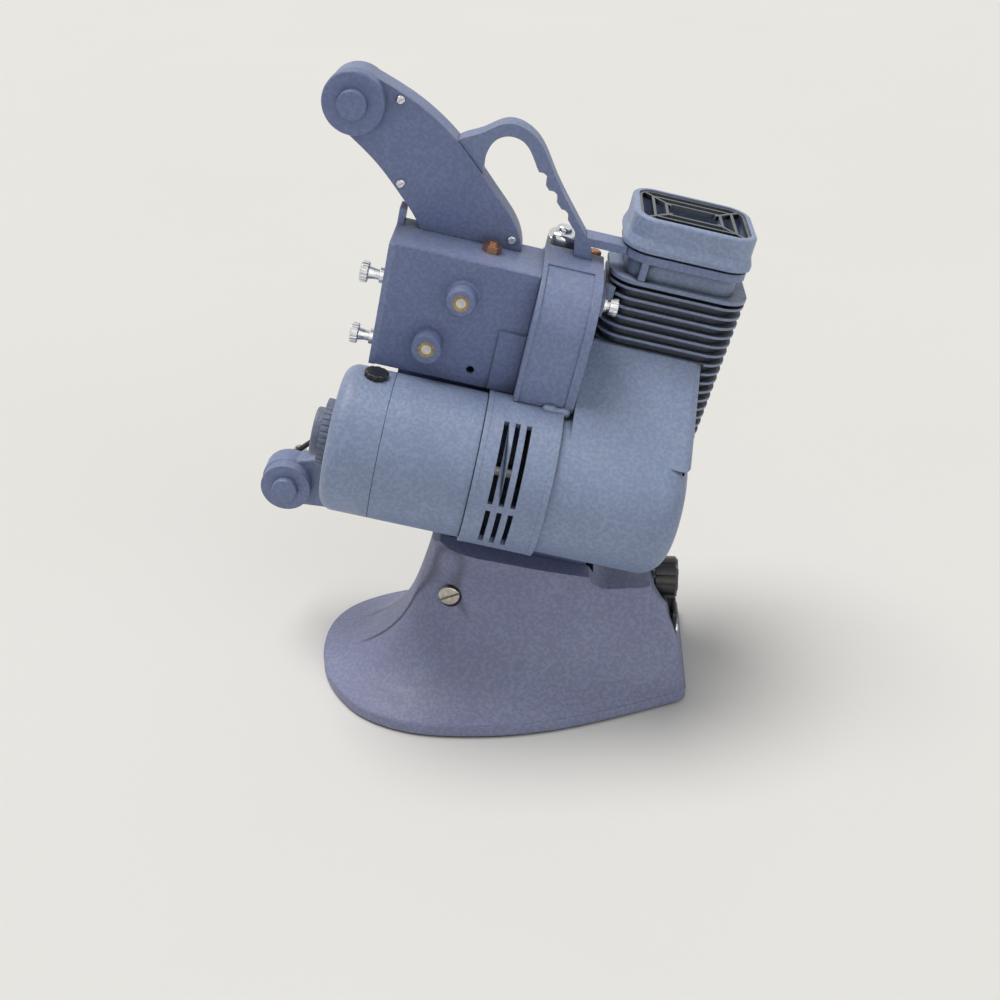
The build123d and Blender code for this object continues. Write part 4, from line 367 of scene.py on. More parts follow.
    @classmethod
    @cache
    def handling(cls) -> bpy.types.NodeTree:
        """Smears of use, which dull a surface in soft patches, and small specks.

        Returns:
            The node group.
        """
        graph, given, made = cls._group("smears of use", [("Smears per metre", "Float", 90.0)],
                                        [("Smear", "Float"), ("Speck", "Float")])
        smear = graph.noise(given.outputs[0], 5.0, 0.6, distortion=1.2)
        graph.feed(made.inputs["Smear"], graph.span(smear, 0.35, 0.7))
        specks = graph.noise(graph.math("MULTIPLY", given.outputs[0], 14.0), 2.0, 0.5)
        graph.feed(made.inputs["Speck"], graph.span(specks, 0.66, 0.74))
        return graph.tree

    @classmethod
    @cache
    def zone(cls) -> bpy.types.NodeTree:
        """Slice of a piece between two distances along a direction.

        Returns:
            The node group.
        """
        graph, given, made = cls._group(
            "zone", [("Along", "Vector", (0.0, 1.0, 0.0)), ("From", "Float", 0.0), ("To", "Float", 1.0)],
            [("Mask", "Float")])
        reach = graph.dot(graph.place(), given.outputs["Along"])
        past = graph.math("GREATER_THAN", reach, given.outputs["From"])
        short = graph.math("LESS_THAN", reach, given.outputs["To"])
        graph.feed(made.inputs["Mask"], graph.math("MULTIPLY", past, short))
        return graph.tree


@dataclass(frozen=True)
class Finish:
    """A finish that makes its material once."""

    name: str
    _made: ClassVar[dict[str, bpy.types.Material]] = {}

    def material(self) -> bpy.types.Material:
        """Builds the material on first use.

        Returns:
            The material.
        """
        if self.name not in self._made:
            made = bpy.data.materials.new(self.name)
            made.use_nodes = True
            graph = Graph(made.node_tree)
            self.surface(graph, made.node_tree.nodes["Principled BSDF"])
            self._made[self.name] = made
        return self._made[self.name]

    def surface(self, graph: Graph, shader: bpy.types.Node) -> None:
        """Fills the shader's inputs.

        Args:
            graph: The material's graph.
            shader: Its Principled BSDF.
        """
        raise NotImplementedError

    @staticmethod
    def bump(graph: Graph, height: object, depth: float, normal: object = None) -> Socket:
        """Raises a surface by a height.

        Args:
            graph: The material's graph.
            height: The height, where 1 is the full depth.
            depth: The full depth in metres.
            normal: Normal of the rounded corners, or None.

        Returns:
            The surface's new normal.
        """
        node = graph.node("Bump")
        node.inputs["Strength"].default_value = 1.0
        node.inputs["Distance"].default_value = depth
        graph.feed(node.inputs["Height"], height)
        graph.feed(node.inputs["Normal"], normal)
        return node.outputs[0]


@dataclass(frozen=True)
class Enamel(Finish):
    """Stoved enamel on a casting, rubbed thin on its corners and dusty on top."""

    colour: Colour
    shade: Colour
    cells: float = 620.0
    depth: float = 0.00034
    valley_shade: float = 0.3
    roughness: float = 0.42
    worn: float = 0.45
    dust: float = 0.22
    # Colour and strength of the painted shade and grime that darken crevices.
    crevice_grime_and_shade: Colour = (0.05, 0.055, 0.065)
    grime_and_shade: float = 0.7
    reach: float = 0.007
    shut: float = 0.15
    open: float = 0.75
    radius: float = 0.0006
    bare: Colour = (0.52, 0.51, 0.5)
    dust_colour: Colour = (0.34, 0.3, 0.26)

    def surface(self, graph: Graph, shader: bpy.types.Node) -> None:
        """Paint, painted shade and grime in its crevices, its dust, and the metal where it has rubbed
        through.

        Args:
            graph: The material\'s graph.
            shader: Its Principled BSDF.
        """
        grain = graph.effect(Effects.grain(), Cells_per_metre=self.cells)
        edges = graph.effect(Effects.edges(), Radius=self.radius, Reach=self.reach, Shut=self.shut,
                             Open=self.open)
        smear = graph.effect(Effects.handling(), Smears_per_metre=45.0)
        dust = graph.effect(Effects.dust(), Patches_per_metre=160.0)
        paint = graph.mix(grain.outputs["Drift"], self.colour, self.shade)
        # Painted shade: the grain's low valleys are darkened towards about half the paint's colour.
        low = tuple(0.55 * part for part in self.colour)
        paint = graph.mix(graph.math("MULTIPLY", grain.outputs["Valley shade"], self.valley_shade), paint, low)
        # Painted shade and grime: crevices that see little sky are darkened towards the crevice colour.
        grime_and_shade = graph.math("MULTIPLY", edges.outputs["Crevice"], self.grime_and_shade)
        paint = graph.mix(grime_and_shade, paint, self.crevice_grime_and_shade)
        settled = graph.math("MULTIPLY", dust.outputs["Mask"], self.dust)
        paint = graph.mix(settled, paint, self.dust_colour)
        chips = graph.span(graph.noise(420.0, 4.0, 0.7), 0.42, 0.6)
        rubbed = graph.math("MULTIPLY", edges.outputs["Edge"], graph.math("MULTIPLY", chips, self.worn))
        graph.feed(shader.inputs["Base Color"], graph.mix(rubbed, paint, self.bare))
        graph.feed(shader.inputs["Metallic"], graph.math("MULTIPLY", rubbed, 0.8))
        rough = graph.between(smear.outputs["Smear"], self.roughness, self.roughness + 0.12)
        graph.feed(shader.inputs["Roughness"], graph.between(settled, rough, 0.85))
        skin = self.bump(graph, grain.outputs["Height"], self.depth, edges.outputs["Normal"])
        graph.feed(shader.inputs["Normal"], skin)


@dataclass(frozen=True)
class BaseEnamel(Enamel):
    """Enamel of the base, over the low rib that runs down its nose between two creases, which carry painted
    shade.
    """

    middle: float = -0.0048
    half: float = 0.0127
    neck: float = -0.045
    widening: float = 0.5
    tip: tuple[float, float] = (-0.084, -0.066)
    top: tuple[float, float] = (-0.022, -0.012)
    height: float = 0.0022
    crease_shade: Colour = (0.05, 0.055, 0.075)
    crease_shade_width: float = 0.0018

    def surface(self, graph: Graph, shader: bpy.types.Node) -> None:
        """Enamel, with the rib in its normal and painted shade along its creases in its colour.

        Args:
            graph: The material\'s graph.
            shader: Its Principled BSDF.
        """
        super().surface(graph, shader)
        paint = shader.inputs["Base Color"].links[0].from_socket
        skin = shader.inputs["Normal"].links[0].from_socket
        place = graph.place()
        along = graph.dot(place, (1.0, 0.0, 0.0))
        aside = graph.math("SUBTRACT", graph.dot(place, (0.0, 1.0, 0.0)), self.middle)
        climb = graph.math("MAXIMUM", graph.math("SUBTRACT", along, self.neck), 0.0)
        edge = graph.math("ADD", graph.math("MULTIPLY", climb, self.widening), self.half)
        past = graph.math("SUBTRACT", graph.math("ABSOLUTE", aside), edge)
        shown = graph.math("MULTIPLY", graph.span(along, *self.tip), graph.span(along, *self.top, 1.0, 0.0))
        rib = graph.math("MULTIPLY", graph.span(past, -0.0022, 0.0008, 1.0, 0.0), shown)
        off = graph.math("ABSOLUTE", past)
        # Painted shade: dark lines along both sides of the rib, where the creases fall into shade.
        line = graph.math("MULTIPLY", graph.span(off, 0.0, self.crease_shade_width, 0.6, 0.0), shown)
        graph.feed(shader.inputs["Base Color"], graph.mix(line, paint, self.crease_shade))
        graph.feed(shader.inputs["Normal"], self.bump(graph, rib, self.height, skin))


@dataclass(frozen=True)
class Metal(Finish):
    """Bare or plated metal with the marks of its making and a little tarnish."""

    colour: Colour
    tarnish: Colour
    roughness: float = 0.25
    stain: float = 0.3
    along: HeadAxis = HeadAxis.BACK
    lines: float = 5000.0
    depth: float = 0.000015
    radius: float = 0.00025
    zone_colour: Colour | None = None
    zone_from: float = 0.0
    zone_to: float = 0.0
    zone_roughness: float = 0.3

    def surface(self, graph: Graph, shader: bpy.types.Node) -> None:
        """Metal, its tarnish, its turned lines and its softened corners.

        Args:
            graph: The material\'s graph.
            shader: Its Principled BSDF.
        """
        edges = graph.effect(Effects.edges(), Radius=self.radius, Reach=0.003)
        smear = graph.effect(Effects.handling(), Smears_per_metre=240.0)
        lines = graph.effect(Effects.turning(), Along=self.along.value, Lines_per_metre=self.lines)
        metal: object = self.colour
        polish: object = self.roughness
        if self.zone_colour is not None:
            zone = graph.effect(Effects.zone(), Along=self.along.value, From=self.zone_from, To=self.zone_to)
            metal = graph.mix(zone.outputs["Mask"], metal, self.zone_colour)
            polish = graph.between(zone.outputs["Mask"], self.roughness, self.zone_roughness)
        dull = graph.math("MAXIMUM", graph.math("MULTIPLY", smear.outputs["Smear"], self.stain),
                          graph.math("MULTIPLY", edges.outputs["Crevice"], 0.75))
        graph.feed(shader.inputs["Base Color"], graph.mix(dull, metal, self.tarnish))
        shader.inputs["Metallic"].default_value = 1.0
        graph.feed(shader.inputs["Roughness"], graph.math("ADD", polish, graph.math("MULTIPLY", dull, 0.3)))
        graph.feed(shader.inputs["Normal"], self.bump(graph, lines.outputs["Height"], self.depth,
                                                      edges.outputs["Normal"]))


@dataclass(frozen=True)
class Moulding(Finish):
    """Moulded plastic, with a polished skin that handling has dulled."""

    colour: Colour
    roughness: float = 0.22
    worn: Colour = (0.12, 0.12, 0.12)
    radius: float = 0.0005
    coat: float = 0.2

    def surface(self, graph: Graph, shader: bpy.types.Node) -> None:
        """Plastic with flow marks, rubbed corners and specks of dust.

        Args:
            graph: The material\'s graph.
            shader: Its Principled BSDF.
        """
        edges = graph.effect(Effects.edges(), Radius=self.radius, Reach=0.004)
        smear = graph.effect(Effects.handling(), Smears_per_metre=150.0)
        rub = graph.math("MULTIPLY", edges.outputs["Edge"], 0.35)
        tone = graph.mix(graph.math("MAXIMUM", rub, graph.math("MULTIPLY", smear.outputs["Speck"], 0.3)),
                         self.colour, self.worn)
        graph.feed(shader.inputs["Base Color"], tone)
        graph.feed(shader.inputs["Roughness"],
                   graph.between(smear.outputs["Smear"], self.roughness, self.roughness + 0.2))
        shader.inputs["Coat Weight"].default_value = self.coat
        shader.inputs["Coat Roughness"].default_value = 0.12
        graph.feed(shader.inputs["Normal"], self.bump(graph, graph.noise(600.0, 3.0), 0.00003,
                                                      edges.outputs["Normal"]))


@dataclass(frozen=True)
class Rubber(Finish):
    """Matt black rubber with a bloom on it."""

    colour: Colour = (0.022, 0.022, 0.024)
    bloom: Colour = (0.09, 0.088, 0.085)

    def surface(self, graph: Graph, shader: bpy.types.Node) -> None:
        """Rubber, its bloom and its fine pitting.

        Args:
            graph: The material\'s graph.
            shader: Its Principled BSDF.
        """
        smear = graph.effect(Effects.handling(), Smears_per_metre=200.0)
        graph.feed(shader.inputs["Base Color"],
                   graph.mix(graph.math("MULTIPLY", smear.outputs["Smear"], 0.6), self.colour, self.bloom))
        graph.feed(shader.inputs["Roughness"], graph.between(smear.outputs["Smear"], 0.62, 0.85))
        graph.feed(shader.inputs["Normal"], self.bump(graph, graph.noise(2600.0, 3.0, 0.6), 0.00006))


@dataclass(frozen=True)
class Felt(Finish):
    """Pressed felt: short tangled fibres and loose lint."""

    colour: Colour = (0.045, 0.05, 0.045)
    lint: Colour = (0.16, 0.155, 0.145)

    def surface(self, graph: Graph, shader: bpy.types.Node) -> None:
        """Felt's fibres, lint and soft sheen.

        Args:
            graph: The material\'s graph.
            shader: Its Principled BSDF.
        """
        fibres = graph.noise(3200.0, 5.0, 0.75, distortion=2.5)
        lint = graph.span(graph.noise(900.0, 4.0, 0.7, distortion=3.0), 0.6, 0.72)
        graph.feed(shader.inputs["Base Color"], graph.mix(lint, self.colour, self.lint))
        graph.feed(shader.inputs["Roughness"], graph.between(fibres, 0.85, 1.0))
        shader.inputs["Sheen Weight"].default_value = 0.4
        graph.feed(shader.inputs["Normal"], self.bump(graph, fibres, 0.0004))


@dataclass(frozen=True)
class Laminations(Finish):
    """Stack of iron laminations, seen edge on, with varnish between them."""

    iron: Colour = (0.2, 0.19, 0.19)
    varnish: Colour = (0.16, 0.07, 0.025)

    def surface(self, graph: Graph, shader: bpy.types.Node) -> None:
        """Iron and varnish in even sheets square to the shaft.

        Args:
            graph: The material\'s graph.
            shader: Its Principled BSDF.
        """
        reach = graph.dot(graph.place(), HeadAxis.BACK.value)
        sheets = graph.math("PINGPONG", graph.math("MULTIPLY", reach, 2000.0), 1.0)
        stain = graph.span(graph.noise(160.0, 4.0, 0.6), 0.4, 0.7)
        dark = graph.math("MAXIMUM", graph.span(sheets, 0.8, 1.0), graph.math("MULTIPLY", stain, 0.6))
        tone = graph.mix(dark, self.iron, self.varnish)
        graph.feed(shader.inputs["Base Color"], tone)
        graph.feed(shader.inputs["Metallic"], graph.span(stain, 0.0, 1.0, 0.9, 0.4))
        graph.feed(shader.inputs["Roughness"], graph.between(stain, 0.38, 0.6))
        graph.feed(shader.inputs["Normal"], self.bump(graph, sheets, 0.00008))


@dataclass(frozen=True)
class Glass(Finish):
    """Clear glass with a faint film of dust."""

    colour: Colour = (0.94, 0.97, 0.97)
    film: Colour = (0.8, 0.8, 0.76)
    index: float = 1.5
    roughness: float = 0.02

    def surface(self, graph: Graph, shader: bpy.types.Node) -> None:
        """Glass whose film shows as slightly duller patches.

        Args:
            graph: The material\'s graph.
            shader: Its Principled BSDF.
        """
        smear = graph.effect(Effects.handling(), Smears_per_metre=300.0)
        shader.inputs["Metallic"].default_value = 0.0
        shader.inputs["Transmission Weight"].default_value = 1.0
        shader.inputs["IOR"].default_value = self.index
        graph.feed(shader.inputs["Base Color"],
                   graph.mix(graph.math("MULTIPLY", smear.outputs["Smear"], 0.15), self.colour, self.film))
        graph.feed(shader.inputs["Roughness"],
                   graph.between(smear.outputs["Smear"], self.roughness, self.roughness + 0.06))


@dataclass(frozen=True)
class Porcelain(Finish):
    """Glazed steatite of the lamp's holder, browned by heat."""

    colour: Colour = (0.68, 0.65, 0.58)
    scorch: Colour = (0.3, 0.21, 0.13)

    def surface(self, graph: Graph, shader: bpy.types.Node) -> None:
        """Glaze with scorched patches.

        Args:
            graph: The material\'s graph.
            shader: Its Principled BSDF.
        """
        smear = graph.effect(Effects.handling(), Smears_per_metre=110.0)
        graph.feed(shader.inputs["Base Color"],
                   graph.mix(graph.math("MULTIPLY", smear.outputs["Smear"], 0.5), self.colour, self.scorch))
        graph.feed(shader.inputs["Roughness"], graph.between(smear.outputs["Smear"], 0.3, 0.55))
        graph.feed(shader.inputs["Normal"], self.bump(graph, graph.noise(700.0, 3.0), 0.00005))


CASTING = Enamel("crinkled grey enamel", (0.18, 0.225, 0.385), (0.205, 0.255, 0.43))
BASE_PAINT = BaseEnamel("base enamel", (0.212, 0.232, 0.375), (0.25, 0.275, 0.43), dust=0.1, valley_shade=0.36)
MOTOR_PAINT = Enamel("motor enamel", (0.21, 0.268, 0.415), (0.245, 0.308, 0.465), roughness=0.38, dust=0.15)
# Painted shade: the near-black crevice colour at full strength paints the gaps between the fins black.
HOUSE_PAINT = Enamel("lamphouse enamel", (0.205, 0.258, 0.39), (0.235, 0.29, 0.43), grime_and_shade=1.0, worn=0.7,
                     crevice_grime_and_shade=(0.006, 0.009, 0.012), reach=0.0055, shut=0.42, open=0.8, radius=0.0003,
                     dust=0.15)
CAP_PAINT = Enamel("lamphouse cap enamel", (0.25, 0.315, 0.475), (0.28, 0.35, 0.52), worn=0.5, dust=0.12)
# Painted shade: the covers' enamel is a darker copy of the casting's, standing for the shade on their faces
# towards the drive side.
SHADED_COVER_PAINT = Enamel("shaded cover plate enamel", (0.145, 0.184, 0.345), (0.168, 0.212, 0.385), roughness=0.46,
                     dust=0.15, grime_and_shade=0.8, reach=0.01)
WHEEL_PAINT = Enamel("hand wheel enamel", (0.13, 0.155, 0.24), (0.16, 0.19, 0.28), roughness=0.4, dust=0.15)
BLACK_ENAMEL = Enamel("black enamel", (0.02, 0.022, 0.026), (0.03, 0.033, 0.04), roughness=0.38, worn=0.5,
                      dust=0.2, crevice_grime_and_shade=(0.008, 0.008, 0.01), depth=0.00005)
# Painted shade: the near-black crevice colour at full strength paints the grille's openings black.
GRILLE_ENAMEL = Enamel("grille enamel", (0.12, 0.14, 0.165), (0.16, 0.18, 0.2), worn=0.6, dust=0.2, grime_and_shade=1.0,
                       crevice_grime_and_shade=(0.003, 0.004, 0.005), depth=0.00008, radius=0.0003, reach=0.014, shut=0.5,
                       open=0.85)
CHROME = Metal("chromium plate", (0.74, 0.75, 0.77), (0.3, 0.27, 0.23), 0.1, 0.25, depth=0.000004)
NICKEL = Metal("dull nickel plate", (0.56, 0.53, 0.47), (0.27, 0.22, 0.16), 0.24, 0.45)
STEEL = Metal("ground steel", (0.48, 0.48, 0.48), (0.22, 0.19, 0.16), 0.28, 0.35)
CROSS_STEEL = Metal("ground steel spindle", (0.5, 0.5, 0.5), (0.24, 0.2, 0.17), 0.26, 0.3, HeadAxis.ACROSS)
FILM_SHAFT = Metal("sprocket steel and gear brass", (0.55, 0.55, 0.54), (0.25, 0.21, 0.16), 0.24, 0.3,
                   HeadAxis.ACROSS, zone_colour=(0.6, 0.42, 0.17), zone_from=0.0080, zone_to=0.0140)
PILOT_METAL = Metal("pilot lamp shell", (0.78, 0.79, 0.8), (0.3, 0.27, 0.23), 0.08, 0.2, HeadAxis.UP,
                    depth=0.000004, zone_colour=(0.24, 0.25, 0.26), zone_from=PIVOT_RISE + 0.165,
                    zone_to=PIVOT_RISE + 0.1795, zone_roughness=0.45)
TUNGSTEN = Metal("lamp filament tungsten", (0.3, 0.3, 0.31), (0.12, 0.12, 0.12), 0.35, 0.2)
COLLAR_BRASS = Metal("lamp collar brass", (0.62, 0.46, 0.22), (0.25, 0.15, 0.07), 0.25, 0.5, HeadAxis.UP)
BRONZE = Metal("bearing bronze", (0.4, 0.29, 0.14), (0.12, 0.09, 0.05), 0.34, 0.6, HeadAxis.ACROSS)
COPPERED = Metal("coppered brass", (0.58, 0.33, 0.19), (0.25, 0.13, 0.07), 0.24, 0.4, HeadAxis.UP)
ALUMINIUM = Metal("satin aluminium", (0.62, 0.62, 0.62), (0.33, 0.31, 0.28), 0.34, 0.3)
BLACK_PLASTIC = Moulding("black moulding", (0.012, 0.012, 0.013))
AMBER_PLASTIC = Moulding("amber moulding", (0.28, 0.1, 0.03), 0.18, (0.42, 0.22, 0.1))
BELT_RUBBER = Rubber("belt rubber")
PAD_FELT = Felt("pad felt")
CORE_IRON = Laminations("core laminations")
LENS_GLASS = Glass("lens glass", (0.9, 0.94, 0.97), index=1.52)
LAMP_GLASS = Glass("lamp glass", (0.96, 0.97, 0.96), index=1.47)
STEATITE = Porcelain("lamp steatite")


def dress(finish: Finish, *nodes: str) -> None:
    """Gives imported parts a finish.

    Args:
        finish: The finish to put on.
        nodes: Names of the parts.
    """
    for name in nodes:
        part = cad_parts[name]
        if not part.material_slots:
            part.data.materials.append(None)
        for slot in part.material_slots:
            slot.material = finish.material()
        LOG.info("dressed %s in %s", name, finish.name)


@dataclass(frozen=True)
class Seat:
    """Where a made piece goes: the body it moves with and the part it stands for."""

    body: str
    slot: str
    stands_for: tuple[str, ...] = ()


def settle(name: str, shape: bmesh.types.BMesh, finish: Finish, seat: Seat, smooth: float = 40.0) -> None:
    """Closes a made shape and puts it in the scene.

    Args:
        name: Name of the piece.
        shape: Its bmesh, in the shared frame.
        finish: What it is finished in.
        seat: The body it rides on and the part it stands for.
        smooth: Corners flatter than this many degrees are shaded as one curve.
    """
    mesh = finished(shape, name)
    piece = bpy.data.objects.new(name, mesh)
    bpy.context.scene.collection.objects.link(piece)
    mesh.materials.append(finish.material())
    mesh.shade_smooth()
    mesh.set_sharp_from_angle(angle=math.radians(smooth))
    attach(piece, seat.body)
    if seat.stands_for:
        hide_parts(*seat.stands_for)
    LOG.info("made %s on body %s: %d faces", name, seat.body, len(mesh.polygons))


def finished(shape: bmesh.types.BMesh, name: str) -> bpy.types.Mesh:
    """Closes a bmesh into a mesh with its normals outward.

    Args:
        shape: The bmesh, which is used up.
        name: Name of the mesh.

    Returns:
        The mesh.
    """
    bmesh.ops.remove_doubles(shape, verts=shape.verts, dist=JOIN_DISTANCE)
    bmesh.ops.recalc_face_normals(shape, faces=shape.faces)
    mesh = bpy.data.meshes.new(name)
    shape.to_mesh(mesh)
    shape.free()
    return mesh


def ring(shape: bmesh.types.BMesh, middle: Vector, radius: float, side: Vector, other: Vector,
         count: int) -> list[bmesh.types.BMVert]:
    """Corners of a circle.

    Args:
        shape: The bmesh that gets them.
        middle: The circle's middle.
        radius: Its radius.
        side: Direction of the first corner.
        other: Direction a quarter turn on.
        count: How many corners.

    Returns:
        The new corners in order.
    """
    turns = [2 * math.pi * step / count for step in range(count)]
    return [shape.verts.new(middle + radius * (math.cos(t) * side + math.sin(t) * other)) for t in turns]


def sweep(shape: bmesh.types.BMesh, line: Sequence[Vector], radius: float, sides: int, closed: bool) -> None:
    """Draws a round tube along a line.

    Args:
        shape: The bmesh that gets the tube.
        line: Points of the tube's middle.
        radius: Radius of the tube.
        sides: Corners of its section.
        closed: True for a loop, False for a tube with flat ends.
    """
    count = len(line)
    rings = []
    side = OFF_LINE
    for index, point in enumerate(line):
        ahead = line[(index + 1) % count] if closed or index + 1 < count else point
        behind = line[index - 1] if closed or index else point
        course = (ahead - behind).normalized()
        side = (side - side.dot(course) * course).normalized()
        other = course.cross(side)
        rings.append(ring(shape, point, radius, side, other, sides))
    for index in range(count if closed else count - 1):
        near, far = rings[index], rings[(index + 1) % count]
        shift = 0
        if closed and index == count - 1:
            shift = min(range(sides), key=lambda k: (near[0].co - far[k].co).length)
        for step in range(sides):
            after = (step + 1) % sides
            corners = near[step], near[after], far[(after + shift) % sides], far[(step + shift) % sides]
            shape.faces.new(corners)
    if not closed:
        shape.faces.new(rings[0])
        shape.faces.new(reversed(rings[-1]))


def revolve(shape: bmesh.types.BMesh, profile: Sequence[tuple[float, float]], centre: Vector, axis: Vector,
            steps: int = 48) -> None:
    """Turns a half profile round an axis.

    Args:
        shape: The bmesh that gets the solid.
        profile: Distance along the axis and radius of each point, both ends on the axis or joined in a loop.
        centre: A point on the axis, where the distance along it is nought.
        axis: Direction of the axis.
        steps: Facets round it.
    """
    side = axis.orthogonal().normalized()
    other = axis.cross(side)
    rows = []
    for along, radius in profile:
        middle = centre + along * axis
        if radius < ON_AXIS:
            rows.append([shape.verts.new(middle)] * steps)
            continue
        rows.append(ring(shape, middle, radius, side, other, steps))
    for near, far in zip(rows, rows[1:]):
        for step in range(steps):
            after = (step + 1) % steps
            corners = list(dict.fromkeys((near[step], near[after], far[after], far[step])))
            if len(corners) > 2:
                shape.faces.new(corners)


@dataclass(frozen=True)
class RoundBelt:
    """Round rubber belt stretched over two pulleys, in a plane of the head."""

    name: str
    stands_for: str
    start: Vector
    start_radius: float
    end: Vector
    end_radius: float
    square: HeadAxis
    thickness: float = 0.0028
    sides: int = 12
    arc_steps: int = 28

    def line(self) -> list[Vector]:
        """Points of the belt's middle, once round.

        Returns:
            The points in order.
        """
        run = self.end - self.start
        course = run.normalized()
        aside = self.square.vector.cross(course)
        spread = math.acos((self.start_radius - self.end_radius) / run.length)

        def on(centre: Vector, radius: float, turn: float) -> Vector:
            """Point on a pulley's rim."""
            return centre + radius * (math.cos(turn) * course + math.sin(turn) * aside)

        steps = self.arc_steps
        far = [on(self.end, self.end_radius, -spread + 2 * spread * k / steps) for k in range(steps + 1)]
        rest = 2 * math.pi - 2 * spread
        near = [on(self.start, self.start_radius, spread + rest * k / steps) for k in range(steps + 1)]
        return far + near

    def build(self) -> None:
        """Makes the belt."""
        shape = bmesh.new()
        sweep(shape, self.line(), self.thickness / 2, self.sides, True)
        settle(self.name, shape, BELT_RUBBER, Seat("head", "rubber", (self.stands_for,)))


@dataclass(frozen=True)
class LensElement:
    """Ground glass element, thicker in the middle than at its rim."""

    place: Vector
    radius: float
    rim: float
    front_bulge: float
    rear_bulge: float

    def draw(self, shape: bmesh.types.BMesh) -> None:
        """Adds the element to a bmesh.

        Args:
            shape: The bmesh.
        """
        steps = 10
        front = [(-self.rim / 2 - self.front_bulge * (1 - (k / steps) ** 2), self.radius * k / steps)
                 for k in range(steps + 1)]
        rear = [(self.rim / 2 + self.rear_bulge * (1 - (k / steps) ** 2), self.radius * k / steps)
                for k in range(steps, -1, -1)]
        revolve(shape, front + rear, self.place, HeadAxis.BACK.vector)


@dataclass
class Stand:
    """Base casting with its pad, plate, pivot and controls."""

    pin_radius: float = 0.00174
    pin_root: float = 0.0811
    pin_tip: float = 0.0945
    pin_reach: float = 0.004
    pin_height: float = 0.028

    def dress(self) -> None:
        """Finishes of the base and what is fixed to it."""
        dress(BASE_PAINT, "base_casting")
        dress(PAD_FELT, "base_pad")
        dress(STEEL, "base_bottom_plate", "tilt_rod")
        dress(NICKEL, "tilt_pivot_screw")
        dress(BLACK_PLASTIC, "tilt_knob", "power_inlet", "speed_knob")
        dress(CHROME, "inlet_screws", "switch_lever")
        dress(NICKEL, "motor_switch")

    def build(self) -> None:
        """Plates the inlet's two pins."""
        shape = bmesh.new()
        tip, radius = self.pin_tip - self.pin_root, self.pin_radius
        profile = ((0.0, 0.0), (0.0, radius), (tip - 0.0012, radius), (tip - 0.0004, 0.75 * radius),
                   (tip, 0.4 * radius), (tip, 0.0))
        for turn in (-1.0, 1.0):
            root = Vector((self.pin_root, turn * self.pin_reach, self.pin_height))
            revolve(shape, profile, root, Vector((1.0, 0.0, 0.0)), 24)
        settle("inlet_pins", shape, NICKEL, Seat("base", "chrome"))


@dataclass
class Head:
    """Gear case, plates, arms and handle."""

    lug: tuple[float, float, float] = (0.0220, -0.0266, 0.1170)
    lug_profile: tuple[tuple[float, float], ...] = (
        (0.0, 0.0), (0.0004, 0.0013), (0.0015, 0.0023), (0.0058, 0.0026), (0.0066, 0.0019), (0.0092, 0.0019),
        (0.0098, 0.0024), (0.0128, 0.0022), (0.0138, 0.0012), (0.0141, 0.0))

    def dress(self) -> None:
        """Finishes of the castings and their screws."""
        dress(CASTING, "main_casting", "upper_arm_housing", "carrying_handle", "lower_arm", "front_plate")
        dress(SHADED_COVER_PAINT, "mechanism_cover", "upper_arm_cover")
        dress(BRONZE, "shaft_bearings")
        dress(CHROME, "upper_thumb_screw", "lower_thumb_screw", "lamphouse_thumb_screw", "arm_cover_screws")
        dress(COPPERED, "arm_nut")
        dress(CROSS_STEEL, "supply_spindle", "takeup_spindle")
        dress(PILOT_METAL, "pilot_lamp")
        dress(AMBER_PLASTIC, "clamp_knob")

    def build(self) -> None:
        """Makes the small lug that clips the vent band under the shoulder."""
        shape = bmesh.new()
        revolve(shape, self.lug_profile, head_point(*self.lug), HeadAxis.BACK.vector, 24)
        settle("vent_band_lug", shape, MOTOR_PAINT, Seat("head", "motor_paint"), 60.0)


@dataclass
class Motor:
    """Motor, vent band, blower and the belt between motor and countershaft."""

    belt: RoundBelt = field(default_factory=lambda: RoundBelt(
        "drive_belt_round", "drive_belt", start=head_point(0.020, -0.028, 0.0795), start_radius=0.005,
        end=head_point(0.020, 0.008, 0.146), end_radius=0.0135, square=HeadAxis.BACK))

    def dress(self) -> None:
        """Finishes of the motor's shells and what turns in them."""
        dress(MOTOR_PAINT, "motor_end_bell", "motor_housing", "vent_band", "blower_housing")
        dress(WHEEL_PAINT, "hand_wheel")
        dress(BLACK_PLASTIC, "brush_caps")
        dress(CORE_IRON, "motor_stator")
        dress(STEEL, "motor_shaft", "countershaft")
        dress(ALUMINIUM, "blower_fan")

    def build(self) -> None:
        """Makes the belt."""
        self.belt.build()


